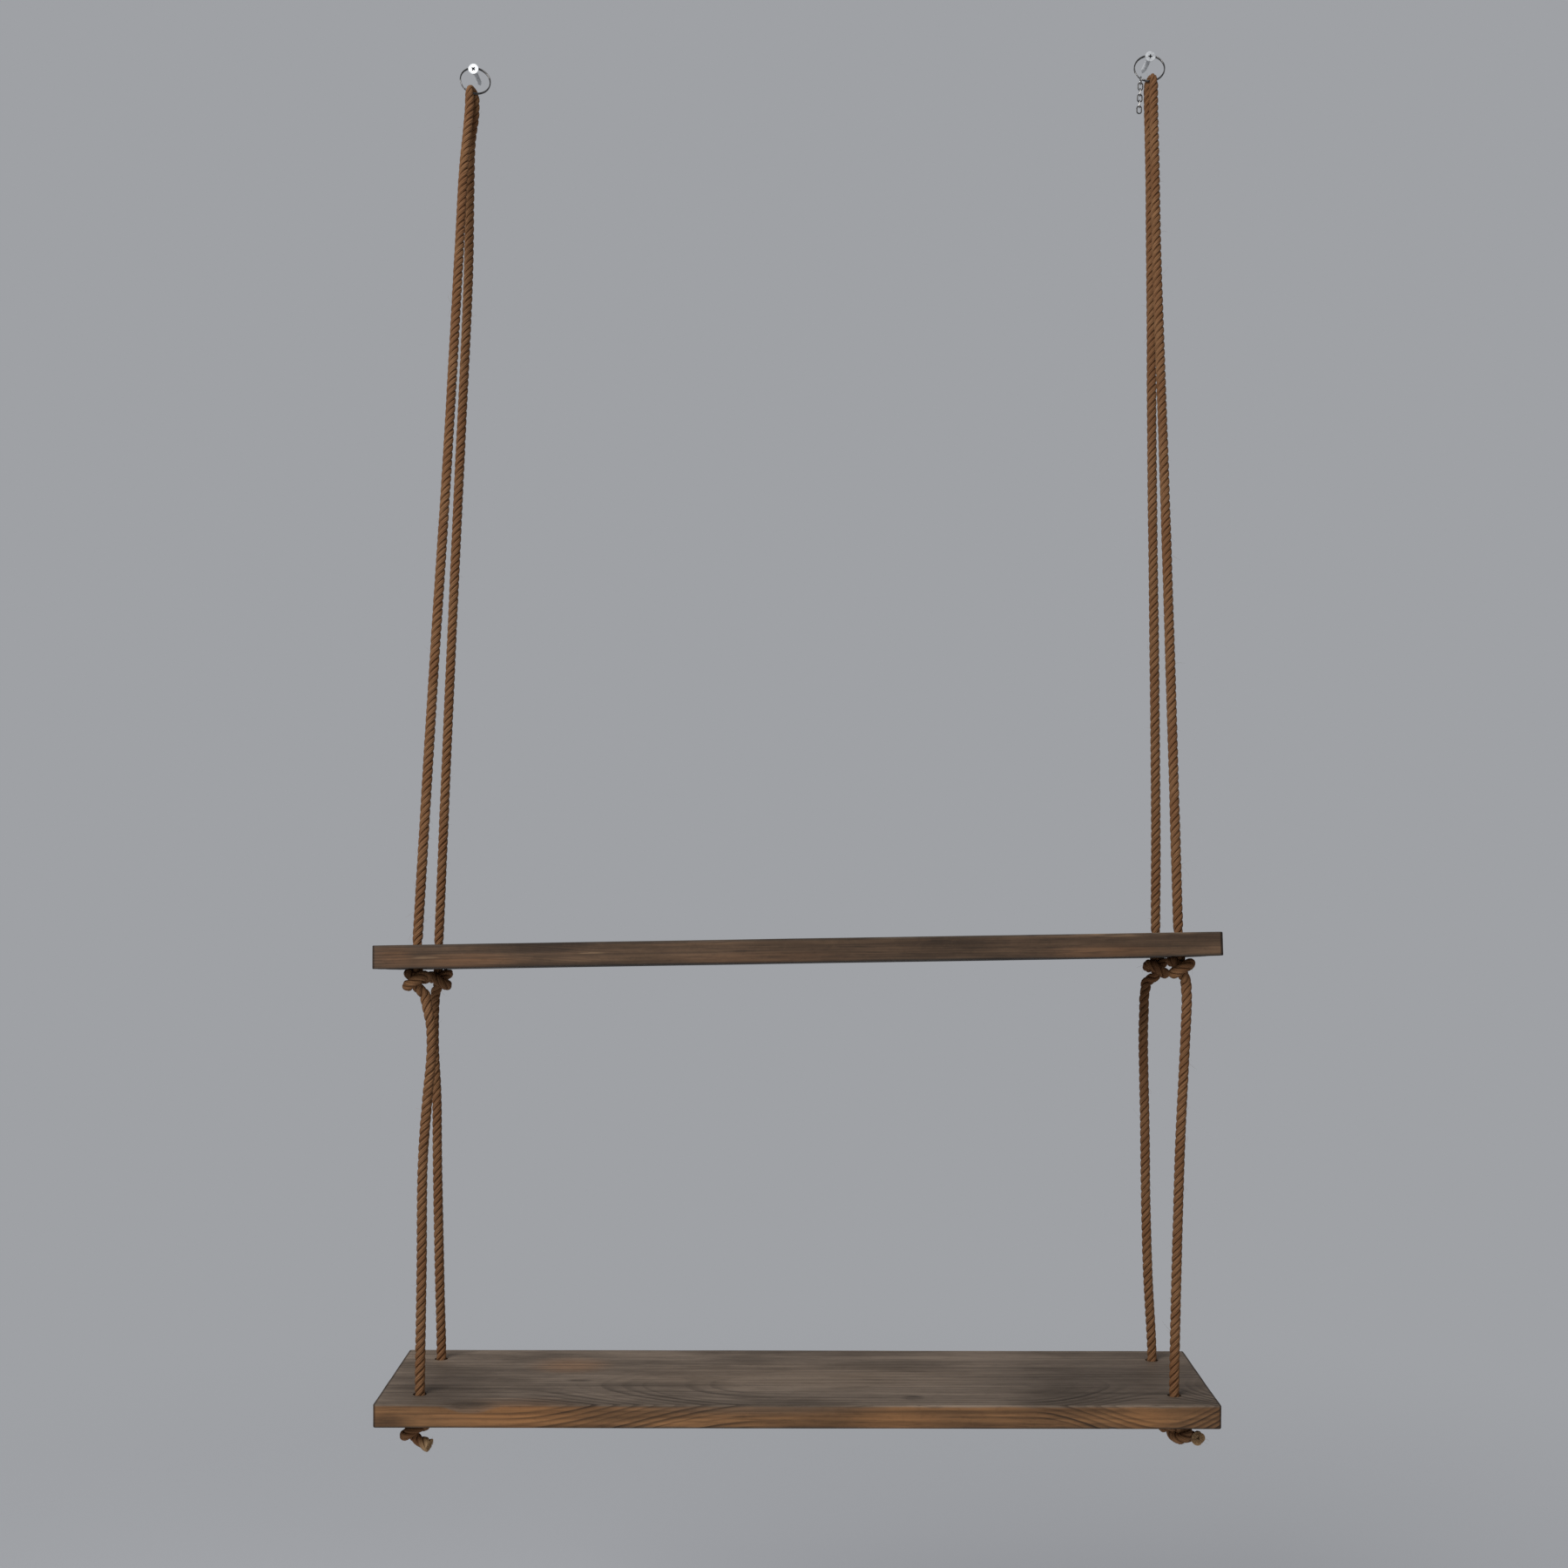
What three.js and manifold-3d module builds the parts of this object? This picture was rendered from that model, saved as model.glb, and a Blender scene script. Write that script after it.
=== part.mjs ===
// A two-tier hanging shelf: two stained boards carried by two doubled ropes. Each rope hangs over a split
// ring, each ring hangs on a wall screw, and each board rests on four overhand knots.
// Millimetres. +X is to the right, +Y goes into the wall, whose face is Y = 0, and +Z is up.
// X = 0 is the boards' middle, and Z = 0 is the height of the right screw's axis.
import * as THREE from "three";
import { mergeVertices } from "three/addons/utils/BufferGeometryUtils.js";
import Module from "manifold-3d";

// Boards
const boardLength = 600;
const boardDepth = 150;
const boardThickness = 17;
const holeDiameter = 10;
const upperHoleFromEnd = 27;
const lowerHoleFromEnd = 29;
const holeFromEdge = 27;
const holeCurveSegments = 10;
const upperShelfDrop = 686.2;
const lowerShelfDrop = 1009.5;
const upperShelfWallGap = 5;
const upperShelfTiltBack = THREE.MathUtils.degToRad(5);
const upperShelfRightUp = THREE.MathUtils.degToRad(1);

// Rope and knots
const ropeDiameter = 6.5;
const knottedRopeDiameter = 5.6;
const ropeJointGap = 0.8;
const seatGap = 0.3;
const bightClearance = 0.6;
const ropeStep = 19;
const knotStep = 3.3;
const ropeSides = 8;
const knotSides = 8;

// Wall screws
const leftScrewX = -249.7;
const rightScrewX = 272.1;
const leftScrewDrop = 10.4;
const leftScrewTurn = THREE.MathUtils.degToRad(38);
const rightScrewTurn = THREE.MathUtils.degToRad(4);
const screwHeadDiameter = 8.4;
const screwHeadDepth = 2.6;
const screwHeadRim = 0.4;
const screwHeadStandoff = 10;
const screwShankDiameter = 4;
const screwCoreDiameter = 2.9;
const screwThreadLength = 30;
const screwPointLength = 6;
const screwThreadPitch = 2.8;
const threadRidgeWidth = 1;
const threadStepsPerTurn = 8;
const screwSides = 16;
const recessWidth = 1.2;
const recessReach = 4.2;
const recessDepth = 1.7;

// Split rings
const ringDiameter = 24;
const ringWireDiameter = 0.9;
const ringTurnGap = 0.3;
const ringTiltOut = THREE.MathUtils.degToRad(18);
const leftRingTurn = THREE.MathUtils.degToRad(16);
const rightRingTurn = THREE.MathUtils.degToRad(-4);
const leftRingOpening = THREE.MathUtils.degToRad(160);
const rightRingOpening = THREE.MathUtils.degToRad(140);
const leftRopeSkewShare = -0.42;
const rightRopeSkewShare = 0.25;
const leftRopeSeat = THREE.MathUtils.degToRad(14);
const rightRopeSeat = THREE.MathUtils.degToRad(-4);
const ringSeatGap = 0.5;
const ringWallGap = 0.5;
const ringStepDown = THREE.MathUtils.degToRad(44);
const ringSteps = 56;
const ringWireSides = 8;

// Key-ring chain on the right ring
const jumpRingDiameter = 6.8;
const chainWireDiameter = 0.9;
const linkLength = 6.6;
const linkWidth = 4.4;
const linkCount = 5;
const chainRingAngle = THREE.MathUtils.degToRad(37);
const chainWireSides = 6;
const linkSteps = 16;

const overrun = 1;
const weldDistance = 1e-4;
const wasm = await Module();
wasm.setup();

const v = (x, y, z) => new THREE.Vector3(x, y, z);

function solidOf(geometry) {
  const bare = geometry.clone();
  bare.deleteAttribute("normal");
  bare.deleteAttribute("uv");
  const merged = mergeVertices(bare, weldDistance);
  const vertProperties = new Float32Array(merged.attributes.position.array);
  const triVerts = new Uint32Array(merged.index.array);
  return new wasm.Manifold(new wasm.Mesh({ numProp: 3, vertProperties, triVerts }));
}

function geometryOf(solid) {
  const mesh = solid.getMesh();
  const geometry = new THREE.BufferGeometry();
  geometry.setAttribute("position", new THREE.BufferAttribute(new Float32Array(mesh.vertProperties), 3));
  geometry.setIndex(new THREE.BufferAttribute(new Uint32Array(mesh.triVerts), 1));
  geometry.computeVertexNormals();
  return geometry;
}

function roundSection(diameter, sides) {
  const corners = [];
  for (let i = 0; i < sides; i++) {
    const angle = (2 * Math.PI * i) / sides;
    corners.push(new THREE.Vector2(Math.cos(angle), Math.sin(angle)).multiplyScalar(diameter / 2));
  }
  return new THREE.Shape(corners);
}

function tubeAlong(curve, diameter, sides, steps) {
  const section = roundSection(diameter, sides);
  return new THREE.ExtrudeGeometry(section, { steps, bevelEnabled: false, extrudePath: curve });
}

function smoothRoute(points, stepLength) {
  const curve = new THREE.CatmullRomCurve3(points, false, "centripetal");
  return curve.getSpacedPoints(Math.ceil(curve.getLength() / stepLength));
}

// A route whose tube has one ring of corners at each of its points.
class PointByPoint extends THREE.CatmullRomCurve3 {
  getPointAt(t, target) {
    return this.getPoint(t, target);
  }
  getTangentAt(t, target) {
    return this.getTangent(t, target);
  }
}

function ropeThrough(points, diameter, sides) {
  return tubeAlong(new PointByPoint(points, false, "centripetal"), diameter, sides, points.length - 1);
}

const stainedWood = () => new THREE.MeshStandardMaterial({ color: 0x6b523c, roughness: 0.62, metalness: 0 });
const jute = () => new THREE.MeshStandardMaterial({ color: 0x7d5a35, roughness: 0.95, metalness: 0 });
const zinc = () => new THREE.MeshStandardMaterial({ color: 0xc4c8ca, roughness: 0.3, metalness: 1 });
const darkSteel = () => new THREE.MeshStandardMaterial({ color: 0x6e6c6b, roughness: 0.35, metalness: 1 });

const shelf = new THREE.Group();

function addPiece(name, geometry, material, parent = shelf) {
  const mesh = new THREE.Mesh(geometry, material);
  mesh.name = name;
  parent.add(mesh);
  return mesh;
}

// Boards: the upper one has slipped a little, so it tilts back and its right end sits higher.
const upperHoleX = boardLength / 2 - upperHoleFromEnd;
const lowerHoleX = boardLength / 2 - lowerHoleFromEnd;
const holeY = boardDepth / 2 - holeFromEdge;

function boardFrame(drop, wallGap, tiltBack, rightUp) {
  const frame = new THREE.Group();
  const reach = (boardDepth / 2) * Math.cos(tiltBack) + (boardThickness / 2) * Math.sin(tiltBack);
  frame.position.set(0, -wallGap - reach, -drop);
  frame.rotation.set(-tiltBack, -rightUp, 0);
  frame.updateMatrixWorld(true);
  shelf.add(frame);
  return frame;
}

const upperFrame = boardFrame(upperShelfDrop, upperShelfWallGap, upperShelfTiltBack, upperShelfRightUp);
const lowerFrame = boardFrame(lowerShelfDrop, 0, 0, 0);

function boardGeometry(holeX) {
  const outline = new THREE.Shape();
  outline.moveTo(-boardLength / 2, -boardDepth / 2);
  outline.lineTo(boardLength / 2, -boardDepth / 2);
  outline.lineTo(boardLength / 2, boardDepth / 2);
  outline.lineTo(-boardLength / 2, boardDepth / 2);
  outline.closePath();
  for (const x of [-holeX, holeX]) {
    for (const y of [-holeY, holeY]) {
      outline.holes.push(new THREE.Path().absarc(x, y, holeDiameter / 2, 0, 2 * Math.PI, true));
    }
  }
  const settings = { depth: boardThickness, bevelEnabled: false, curveSegments: holeCurveSegments };
  const board = new THREE.ExtrudeGeometry(outline, settings);
  return board.translate(0, 0, -boardThickness / 2);
}

addPiece("upper_shelf_board", boardGeometry(upperHoleX), stainedWood(), upperFrame);
addPiece("lower_shelf_board", boardGeometry(lowerHoleX), stainedWood(), lowerFrame);

// Wall screws: a countersunk head with a cross recess, a plain shank to the wall and a thread inside it.
function screwThread() {
  const turns = (screwThreadLength - screwPointLength) / screwThreadPitch;
  const points = [];
  for (let i = 0; i <= turns * threadStepsPerTurn; i++) {
    const angle = (2 * Math.PI * i) / threadStepsPerTurn;
    const radius = screwCoreDiameter / 2;
    const along = (screwThreadPitch * i) / threadStepsPerTurn;
    points.push(v(radius * Math.cos(angle), along, radius * Math.sin(angle)));
  }
  const ridgeHeight = screwShankDiameter - screwCoreDiameter;
  const ridge = new THREE.Shape([
    new THREE.Vector2(-ridgeHeight / 2, 0),
    new THREE.Vector2(0, -threadRidgeWidth / 2),
    new THREE.Vector2(ridgeHeight / 2, 0),
    new THREE.Vector2(0, threadRidgeWidth / 2),
  ]);
  const extrudePath = new THREE.CatmullRomCurve3(points);
  return new THREE.ExtrudeGeometry(ridge, { steps: points.length - 1, bevelEnabled: false, extrudePath });
}

function screwGeometry() {
  const head = screwHeadDiameter / 2;
  const shank = screwShankDiameter / 2;
  const core = screwCoreDiameter / 2;
  const cone = screwHeadDepth - screwHeadRim;
  const outline = [
    [0, 0],
    [head, 0],
    [head, screwHeadRim],
    [shank, screwHeadRim + cone],
    [shank, screwHeadStandoff],
    [core, screwHeadStandoff + core],
    [core, screwHeadStandoff + screwThreadLength - screwPointLength],
    [0, screwHeadStandoff + screwThreadLength],
  ].map(([radius, along]) => new THREE.Vector2(radius, along));
  const body = new THREE.LatheGeometry(outline, screwSides).translate(0, -screwHeadStandoff, 0);
  let screw = solidOf(body).add(solidOf(screwThread().translate(0, screwThreadPitch, 0)));
  const taper = (recessReach - recessWidth) / recessDepth;
  const mouthReach = (recessReach + taper * overrun) / Math.SQRT2;
  const floorReach = recessWidth / Math.SQRT2;
  for (const turn of [0, Math.PI / 2]) {
    const slot = new THREE.CylinderGeometry(mouthReach, floorReach, recessDepth + overrun, 4);
    slot.rotateY(Math.PI / 4);
    slot.rotateX(Math.PI);
    slot.scale(1, 1, recessWidth / recessReach);
    slot.rotateY(turn);
    slot.translate(0, -screwHeadStandoff + (recessDepth - overrun) / 2, 0);
    screw = screw.subtract(solidOf(slot));
  }
  return geometryOf(screw);
}

function addScrew(name, x, z, turn) {
  const screw = addPiece(name, screwGeometry().rotateY(turn), zinc());
  screw.position.set(x, 0, z);
}

addScrew("left_wall_screw", leftScrewX, -leftScrewDrop, leftScrewTurn);
addScrew("right_wall_screw", rightScrewX, 0, rightScrewTurn);

// Split rings: two turns of wire side by side, joined by a short step down.
const ringRadius = (ringDiameter - ringWireDiameter) / 2;
const ringTurnPitch = ringWireDiameter + ringTurnGap;
const ringHalfWidth = (ringTurnPitch + ringWireDiameter) / 2;

class SplitRingCurve extends THREE.Curve {
  getPoint(t, target = new THREE.Vector3()) {
    const start = ringStepDown / 2;
    const angle = start + t * (4 * Math.PI - 2 * start);
    const past = THREE.MathUtils.smoothstep(angle, 2 * Math.PI - start, 2 * Math.PI + start);
    const side = (past - 1 / 2) * ringTurnPitch;
    return target.set(ringRadius * Math.cos(angle), side, ringRadius * Math.sin(angle));
  }
}

// A ring's frame: local X and Z lie in the ring, local Y is its axis. It rests on top of the screw's shank.
function ringFrame(screwX, screwZ, turn) {
  const frame = new THREE.Group();
  const rest = (screwShankDiameter + ringWireDiameter) / 2 + ringSeatGap;
  const drop = ringRadius * Math.cos(ringTiltOut) - (ringTurnPitch / 2) * Math.sin(ringTiltOut) - rest;
  const lean = ringRadius * Math.hypot(Math.sin(ringTiltOut), Math.sin(turn));
  const centreY = -ringWallGap - ringHalfWidth - lean;
  frame.position.set(screwX, centreY, screwZ - drop);
  frame.rotation.set(-ringTiltOut, 0, turn, "ZXY");
  frame.updateMatrixWorld(true);
  shelf.add(frame);
  return frame;
}

const leftRing = ringFrame(leftScrewX, -leftScrewDrop, leftRingTurn);
const rightRing = ringFrame(rightScrewX, 0, rightRingTurn);

function addRing(name, frame, openingAngle) {
  const wire = tubeAlong(new SplitRingCurve(), ringWireDiameter, ringWireSides, ringSteps);
  const ring = addPiece(name, wire, darkSteel(), frame);
  ring.rotation.y = openingAngle;
}

addRing("left_split_ring", leftRing, leftRingOpening);
addRing("right_split_ring", rightRing, rightRingOpening);

// The overhand knot: the rope comes down, runs once round itself and leaves below. Its strands are low on
// one side and high on the other. These shares, and all in the table of legs but the turns, the hands and
// each bow's first number, are of the rope's diameter.
const knotShares = [
  [-0.34, 0.05, 0.95],
  [-0.46, -0.12, 0.5],
  [-0.42, -0.45, -0.1],
  [-0.14, -0.86, -0.54],
  [0.36, -1.08, -0.68],
  [0.9, -0.98, -0.62],
  [1.24, -0.56, -0.38],
  [1.27, 0.02, 0.0],
  [1.0, 0.52, 0.32],
  [0.52, 0.75, 0.4],
  [0, 0.77, 0.3],
  [-0.52, 0.75, 0.15],
  [-1.0, 0.52, 0.08],
  [-1.27, 0.02, 0.2],
  [-1.24, -0.56, 0.42],
  [-0.9, -0.98, 0.62],
  [-0.36, -1.08, 0.68],
  [0.14, -0.86, 0.54],
  [0.42, -0.45, 0.1],
  [0.46, -0.12, -0.5],
  [0.34, 0.05, -0.95],
];
const entryShiftShares = [0.5, 0.8];
const knotCoilHeightShare = 0.68;
const knotExitDropShare = 2;
const mouthShiftShare = 0.4;
const knotDrop = boardThickness / 2 + seatGap + knotCoilHeightShare * ropeDiameter + knottedRopeDiameter / 2;

// Where each rope leg sits. A knot is tied right- or left-handed, turned about the vertical and shifted to
// the right. Below an upper knot the rope leaves at a lean, and a lower knot ends in a short cut tail. A bow
// is a share of the way from top to bottom, and how far the rope lies to the right there.
const quarter = Math.PI / 2;
const legs = [
  {
    name: "left_front",
    side: -1,
    row: -1,
    upperBowShares: [[0.08, -0.2], [0.2, -0.13], [0.45, 0], [0.7, -0.06]],
    upperKnot: { hand: 1, turn: -quarter, shiftShare: 0.2, exitShare: 0.76, leanShare: 0.2 },
    lowerBowShares: [[0.06, 0.55], [0.13, 0.68], [0.25, 0.32], [0.42, -0.08], [0.7, -0.02]],
    lowerKnot: { hand: 1, turn: -1.15 * quarter, shiftShare: -0.4 },
    tailShares: [[0.1, -0.5, -1.28], [0.65, -0.68, -1.48], [1.2, -0.85, -1.68]],
  },
  {
    name: "left_rear",
    side: -1,
    row: 1,
    upperBowShares: [[0.04, -0.3], [0.2, 0.06], [0.45, 0], [0.7, -0.04]],
    upperKnot: { hand: -1, turn: quarter, shiftShare: 0, exitShare: -0.35, leanShare: -0.05 },
    lowerBowShares: [[0.13, -0.19], [0.27, 0], [0.45, -0.06], [0.8, -0.05]],
    lowerKnot: { hand: 1, turn: quarter, shiftShare: 0 },
    tailShares: [[-0.2, 0.4, -1.5], [-0.55, 0.5, -2.0], [-0.8, 0.55, -2.5]],
  },
  {
    name: "right_front",
    side: 1,
    row: -1,
    upperBowShares: [[0.1, -0.1], [0.2, -0.2], [0.45, -0.06], [0.7, 0]],
    upperKnot: { hand: 1, turn: -quarter, shiftShare: 0.34, exitShare: 0.34, leanShare: 0.02 },
    lowerBowShares: [[0.13, 0.05], [0.38, -0.15], [0.6, -0.15], [0.8, -0.1]],
    lowerKnot: { hand: 1, turn: -0.1 * quarter, shiftShare: 0.1 },
    tailShares: [[0.8, 0.3, -1.15], [1.5, 0.4, -0.98], [2.15, 0.2, -0.85], [2.45, -0.35, -0.8], [2.5, -0.8, -0.8]],
  },
  {
    name: "right_rear",
    side: 1,
    row: 1,
    upperBowShares: [[0.08, 0.12], [0.2, 0.14], [0.45, 0.07], [0.7, 0.14], [0.9, 0.12]],
    upperKnot: { hand: -1, turn: quarter, shiftShare: -0.2, exitShare: -1.08, leanShare: -0.18 },
    lowerBowShares: [[0.05, -0.2], [0.13, -0.35], [0.38, -0.35], [0.6, -0.4], [0.8, -0.3]],
    lowerKnot: { hand: 1, turn: quarter, shiftShare: 0 },
    tailShares: [[0.2, 0.4, -1.5], [0.45, 0.5, -2.0], [0.55, 0.55, -2.5]],
  },
];

function onBoard(hole, [x, y, z]) {
  return v(x, y, z).multiplyScalar(ropeDiameter).add(v(hole.x, hole.y, -knotDrop));
}

const toWorld = (points, frame) => points.map((point) => frame.localToWorld(point.clone()));

// Points of one knot in its board's frame, from the middle of the hole to the end of its coil.
function coilRoute(hole, { hand, turn, shiftShare }) {
  const coil = knotShares.map(([x, y, z], i) => {
    const turned = v(hand * x, y, z).applyAxisAngle(v(0, 0, 1), turn);
    const shift = shiftShare * (entryShiftShares[i] ?? 1);
    return onBoard(hole, [turned.x + shift, turned.y, turned.z]);
  });
  return [
    v(hole.x, hole.y, -ropeJointGap / 2),
    v(hole.x, hole.y, -boardThickness / 4),
    v(hole.x + mouthShiftShare * shiftShare * ropeDiameter, hole.y, -boardThickness / 2),
    ...coil,
  ];
}

// The last two points of an upper knot, where its rope leaves it.
function exitRoute(hole, { shiftShare, exitShare, leanShare }) {
  const out = v(leanShare, 0, -1).setLength(ropeDiameter / 3);
  const end = onBoard(hole, [shiftShare + exitShare, 0, -knotExitDropShare]);
  return [end.clone().sub(out), end.clone().add(out)];
}

function addKnot(name, frame, route) {
  addPiece(name, ropeThrough(smoothRoute(route, knotStep), knottedRopeDiameter, knotSides), jute(), frame);
}

for (const leg of legs) {
  leg.upperHole = v(leg.side * upperHoleX, leg.row * holeY, 0);
  leg.lowerHole = v(leg.side * lowerHoleX, leg.row * holeY, 0);
  leg.exit = exitRoute(leg.upperHole, leg.upperKnot);
  addKnot(`${leg.name}_upper_knot`, upperFrame, [...coilRoute(leg.upperHole, leg.upperKnot), ...leg.exit]);
  const tail = leg.tailShares.map((shares) => onBoard(leg.lowerHole, shares));
  addKnot(`${leg.name}_lower_knot`, lowerFrame, [...coilRoute(leg.lowerHole, leg.lowerKnot), ...tail]);
}

function bowedPoints(top, bottom, bowShares) {
  return bowShares.map(([downShare, bowShare]) => {
    const point = top.clone().lerp(bottom, downShare);
    return point.add(v(bowShare * ropeDiameter, 0, 0));
  });
}

// Lower legs run from the upper knot's exit to the middle of the lower board's hole.
function lowerLegRoute(leg) {
  const [before, exit] = toWorld(leg.exit, upperFrame);
  const way = exit.clone().sub(before).normalize();
  const top = exit.clone().addScaledVector(way, ropeJointGap);
  const below = top.clone().addScaledVector(way, ropeDiameter);
  const bottom = toWorld([leg.lowerHole.clone().add(v(0, 0, ropeJointGap / 2))], lowerFrame)[0];
  const above = bottom.clone().add(v(0, 0, boardThickness));
  return [top, below, ...bowedPoints(top, above, leg.lowerBowShares), above, bottom];
}

for (const leg of legs) {
  const route = smoothRoute(lowerLegRoute(leg), ropeStep);
  addPiece(`${leg.name}_lower_rope`, ropeThrough(route, ropeDiameter, ropeSides), jute());
}

// Upper ropes: up from the front hole, over the ring's lowest wire and down to the rear hole, in one length.
const bightWidth = ropeDiameter / 2 + ringHalfWidth + bightClearance;
const bightHeight = (ropeDiameter + ringWireDiameter) / 2 + bightClearance;
const bightAngles = [0, 30, 60, 90, 120, 150, 180].map(THREE.MathUtils.degToRad);

function bightRoute(frame, seatAngle, skewShare) {
  const up = v(Math.sin(seatAngle), 0, Math.cos(seatAngle));
  const along = v(Math.cos(seatAngle), 0, -Math.sin(seatAngle));
  const seat = up.clone().multiplyScalar(-ringRadius);
  const points = bightAngles.map((angle) =>
    seat
      .clone()
      .add(v(0, -bightWidth * Math.cos(angle), 0))
      .addScaledVector(up, bightHeight * Math.sin(angle))
      .addScaledVector(along, skewShare * ropeDiameter * Math.cos(angle)),
  );
  return toWorld(points, frame);
}

function upperLegRoute(leg, start) {
  const hole = toWorld([leg.upperHole.clone().add(v(0, 0, ropeJointGap / 2))], upperFrame)[0];
  const mouth = start.clone().lerp(hole, 1 - boardThickness / start.distanceTo(hole));
  const below = start.clone().add(v(0, 0, -2 * ropeDiameter));
  return [below, ...bowedPoints(below, mouth, leg.upperBowShares), mouth, hole];
}

function addUpperRope(name, frame, seatAngle, skewShare, frontLeg, rearLeg) {
  const bight = bightRoute(frame, seatAngle, skewShare);
  const front = smoothRoute(upperLegRoute(frontLeg, bight[0]), ropeStep).reverse();
  const rear = smoothRoute(upperLegRoute(rearLeg, bight[bight.length - 1]), ropeStep);
  addPiece(name, ropeThrough([...front, ...bight, ...rear], ropeDiameter, ropeSides), jute());
}

addUpperRope("left_upper_rope", leftRing, leftRopeSeat, leftRopeSkewShare, legs[0], legs[1]);
addUpperRope("right_upper_rope", rightRing, rightRopeSeat, rightRopeSkewShare, legs[2], legs[3]);

// The key-ring chain hangs from the right ring, close to the rope.
function ovalLink(length, width) {
  const radius = (width - chainWireDiameter) / 2;
  const round = new THREE.TorusGeometry(radius, chainWireDiameter / 2, chainWireSides, linkSteps);
  const corners = round.attributes.position;
  const stillShare = 0.01;
  for (let i = 0; i < corners.count; i++) {
    const y = corners.getY(i);
    if (Math.abs(y) > stillShare * width) corners.setY(i, y + (Math.sign(y) * (length - width)) / 2);
  }
  return round.rotateX(quarter);
}

function addChain() {
  const seat = v(-Math.sin(chainRingAngle), 0, -Math.cos(chainRingAngle)).multiplyScalar(ringRadius);
  const hang = rightRing.localToWorld(seat);
  const wireHalf = ringWireDiameter / 2 / Math.cos(chainRingAngle);
  const wireRest = wireHalf + (ringTurnPitch / 2) * Math.sin(ringTiltOut) + chainWireDiameter / 2 + seatGap;
  let bottom = hang.z + wireRest - (jumpRingDiameter - chainWireDiameter);
  const jumpRing = addPiece("key_chain_jump_ring", ovalLink(jumpRingDiameter, jumpRingDiameter), zinc());
  jumpRing.rotation.z = quarter;
  jumpRing.position.set(hang.x, hang.y, bottom + (jumpRingDiameter - chainWireDiameter) / 2);
  for (let i = 0; i < linkCount; i++) {
    const link = addPiece(`key_chain_link_${i + 1}`, ovalLink(linkLength, linkWidth), zinc());
    const top = bottom + chainWireDiameter + seatGap;
    link.rotation.z = i % 2 ? quarter : 0;
    link.position.set(hang.x, hang.y, top - (linkLength - chainWireDiameter) / 2);
    bottom = top - (linkLength - chainWireDiameter);
  }
}

addChain();

export default shelf;
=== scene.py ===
# %% [markdown]
# # A two-tier shelf hung on two ropes
# Two stained boards hang one above the other on two jute ropes. Each rope is doubled over a split ring,
# each ring hangs on a wall screw, and each board rests on overhand knots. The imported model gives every
# place and size, so it comes first. All lengths are metres, +X is to the right, +Y goes into the wall and
# +Z is up.

import math

import bmesh
import bpy
import numpy as np
from mathutils import Matrix, Vector


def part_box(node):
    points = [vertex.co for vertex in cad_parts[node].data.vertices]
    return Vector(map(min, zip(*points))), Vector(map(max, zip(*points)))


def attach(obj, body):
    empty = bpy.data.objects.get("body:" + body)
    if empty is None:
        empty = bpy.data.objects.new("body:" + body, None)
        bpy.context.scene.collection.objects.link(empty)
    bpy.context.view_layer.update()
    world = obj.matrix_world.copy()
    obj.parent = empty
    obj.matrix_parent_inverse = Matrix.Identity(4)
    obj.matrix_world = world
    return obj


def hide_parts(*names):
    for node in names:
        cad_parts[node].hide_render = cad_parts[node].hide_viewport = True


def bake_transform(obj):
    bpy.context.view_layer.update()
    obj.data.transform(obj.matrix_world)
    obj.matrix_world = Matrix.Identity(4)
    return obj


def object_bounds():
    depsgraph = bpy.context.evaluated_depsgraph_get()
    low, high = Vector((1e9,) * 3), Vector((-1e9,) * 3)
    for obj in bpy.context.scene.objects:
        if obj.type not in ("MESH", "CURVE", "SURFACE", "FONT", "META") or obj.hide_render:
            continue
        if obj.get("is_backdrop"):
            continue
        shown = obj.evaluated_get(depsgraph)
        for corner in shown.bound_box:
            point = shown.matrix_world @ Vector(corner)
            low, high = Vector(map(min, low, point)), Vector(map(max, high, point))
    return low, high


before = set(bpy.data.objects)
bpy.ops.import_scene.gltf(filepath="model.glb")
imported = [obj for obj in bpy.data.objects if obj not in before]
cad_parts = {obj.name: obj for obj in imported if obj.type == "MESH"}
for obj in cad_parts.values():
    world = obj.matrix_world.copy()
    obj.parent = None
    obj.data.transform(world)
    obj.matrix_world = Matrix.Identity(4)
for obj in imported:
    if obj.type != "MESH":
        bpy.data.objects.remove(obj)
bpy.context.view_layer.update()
MM = 0.001

# %% [markdown]
# ## The camera
# The photo was taken from straight in front, at about half the shelf's height and almost level. Solving
# the corners of both boards gave the place, the tilt and the lens. The shelf fills the picture from top
# to bottom.

# %% Camera
CAMERA_PLACE = Vector((-0.0075, -1.6749, -0.5666))
CAMERA_TILT_UP = math.radians(0.153)
CAMERA_TURN_LEFT = math.radians(0.088)
CAMERA_ROLL = math.radians(0.074)
PHOTO_WIDTH = 1800

camera_data = bpy.data.cameras.new("camera")
camera_data.sensor_width = 36
camera_data.lens = 49.55
camera_data.clip_start = 0.05
camera_data.clip_end = 60
camera = bpy.data.objects.new("camera", camera_data)
bpy.context.scene.collection.objects.link(camera)
level = Matrix.Rotation(CAMERA_TURN_LEFT, 4, "Z") @ Matrix.Rotation(math.pi / 2 + CAMERA_TILT_UP, 4, "X")
camera.matrix_world = Matrix.Translation(CAMERA_PLACE) @ level @ Matrix.Rotation(CAMERA_ROLL, 4, "Z")
bpy.context.scene.camera = camera
bpy.context.view_layer.update()


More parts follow.
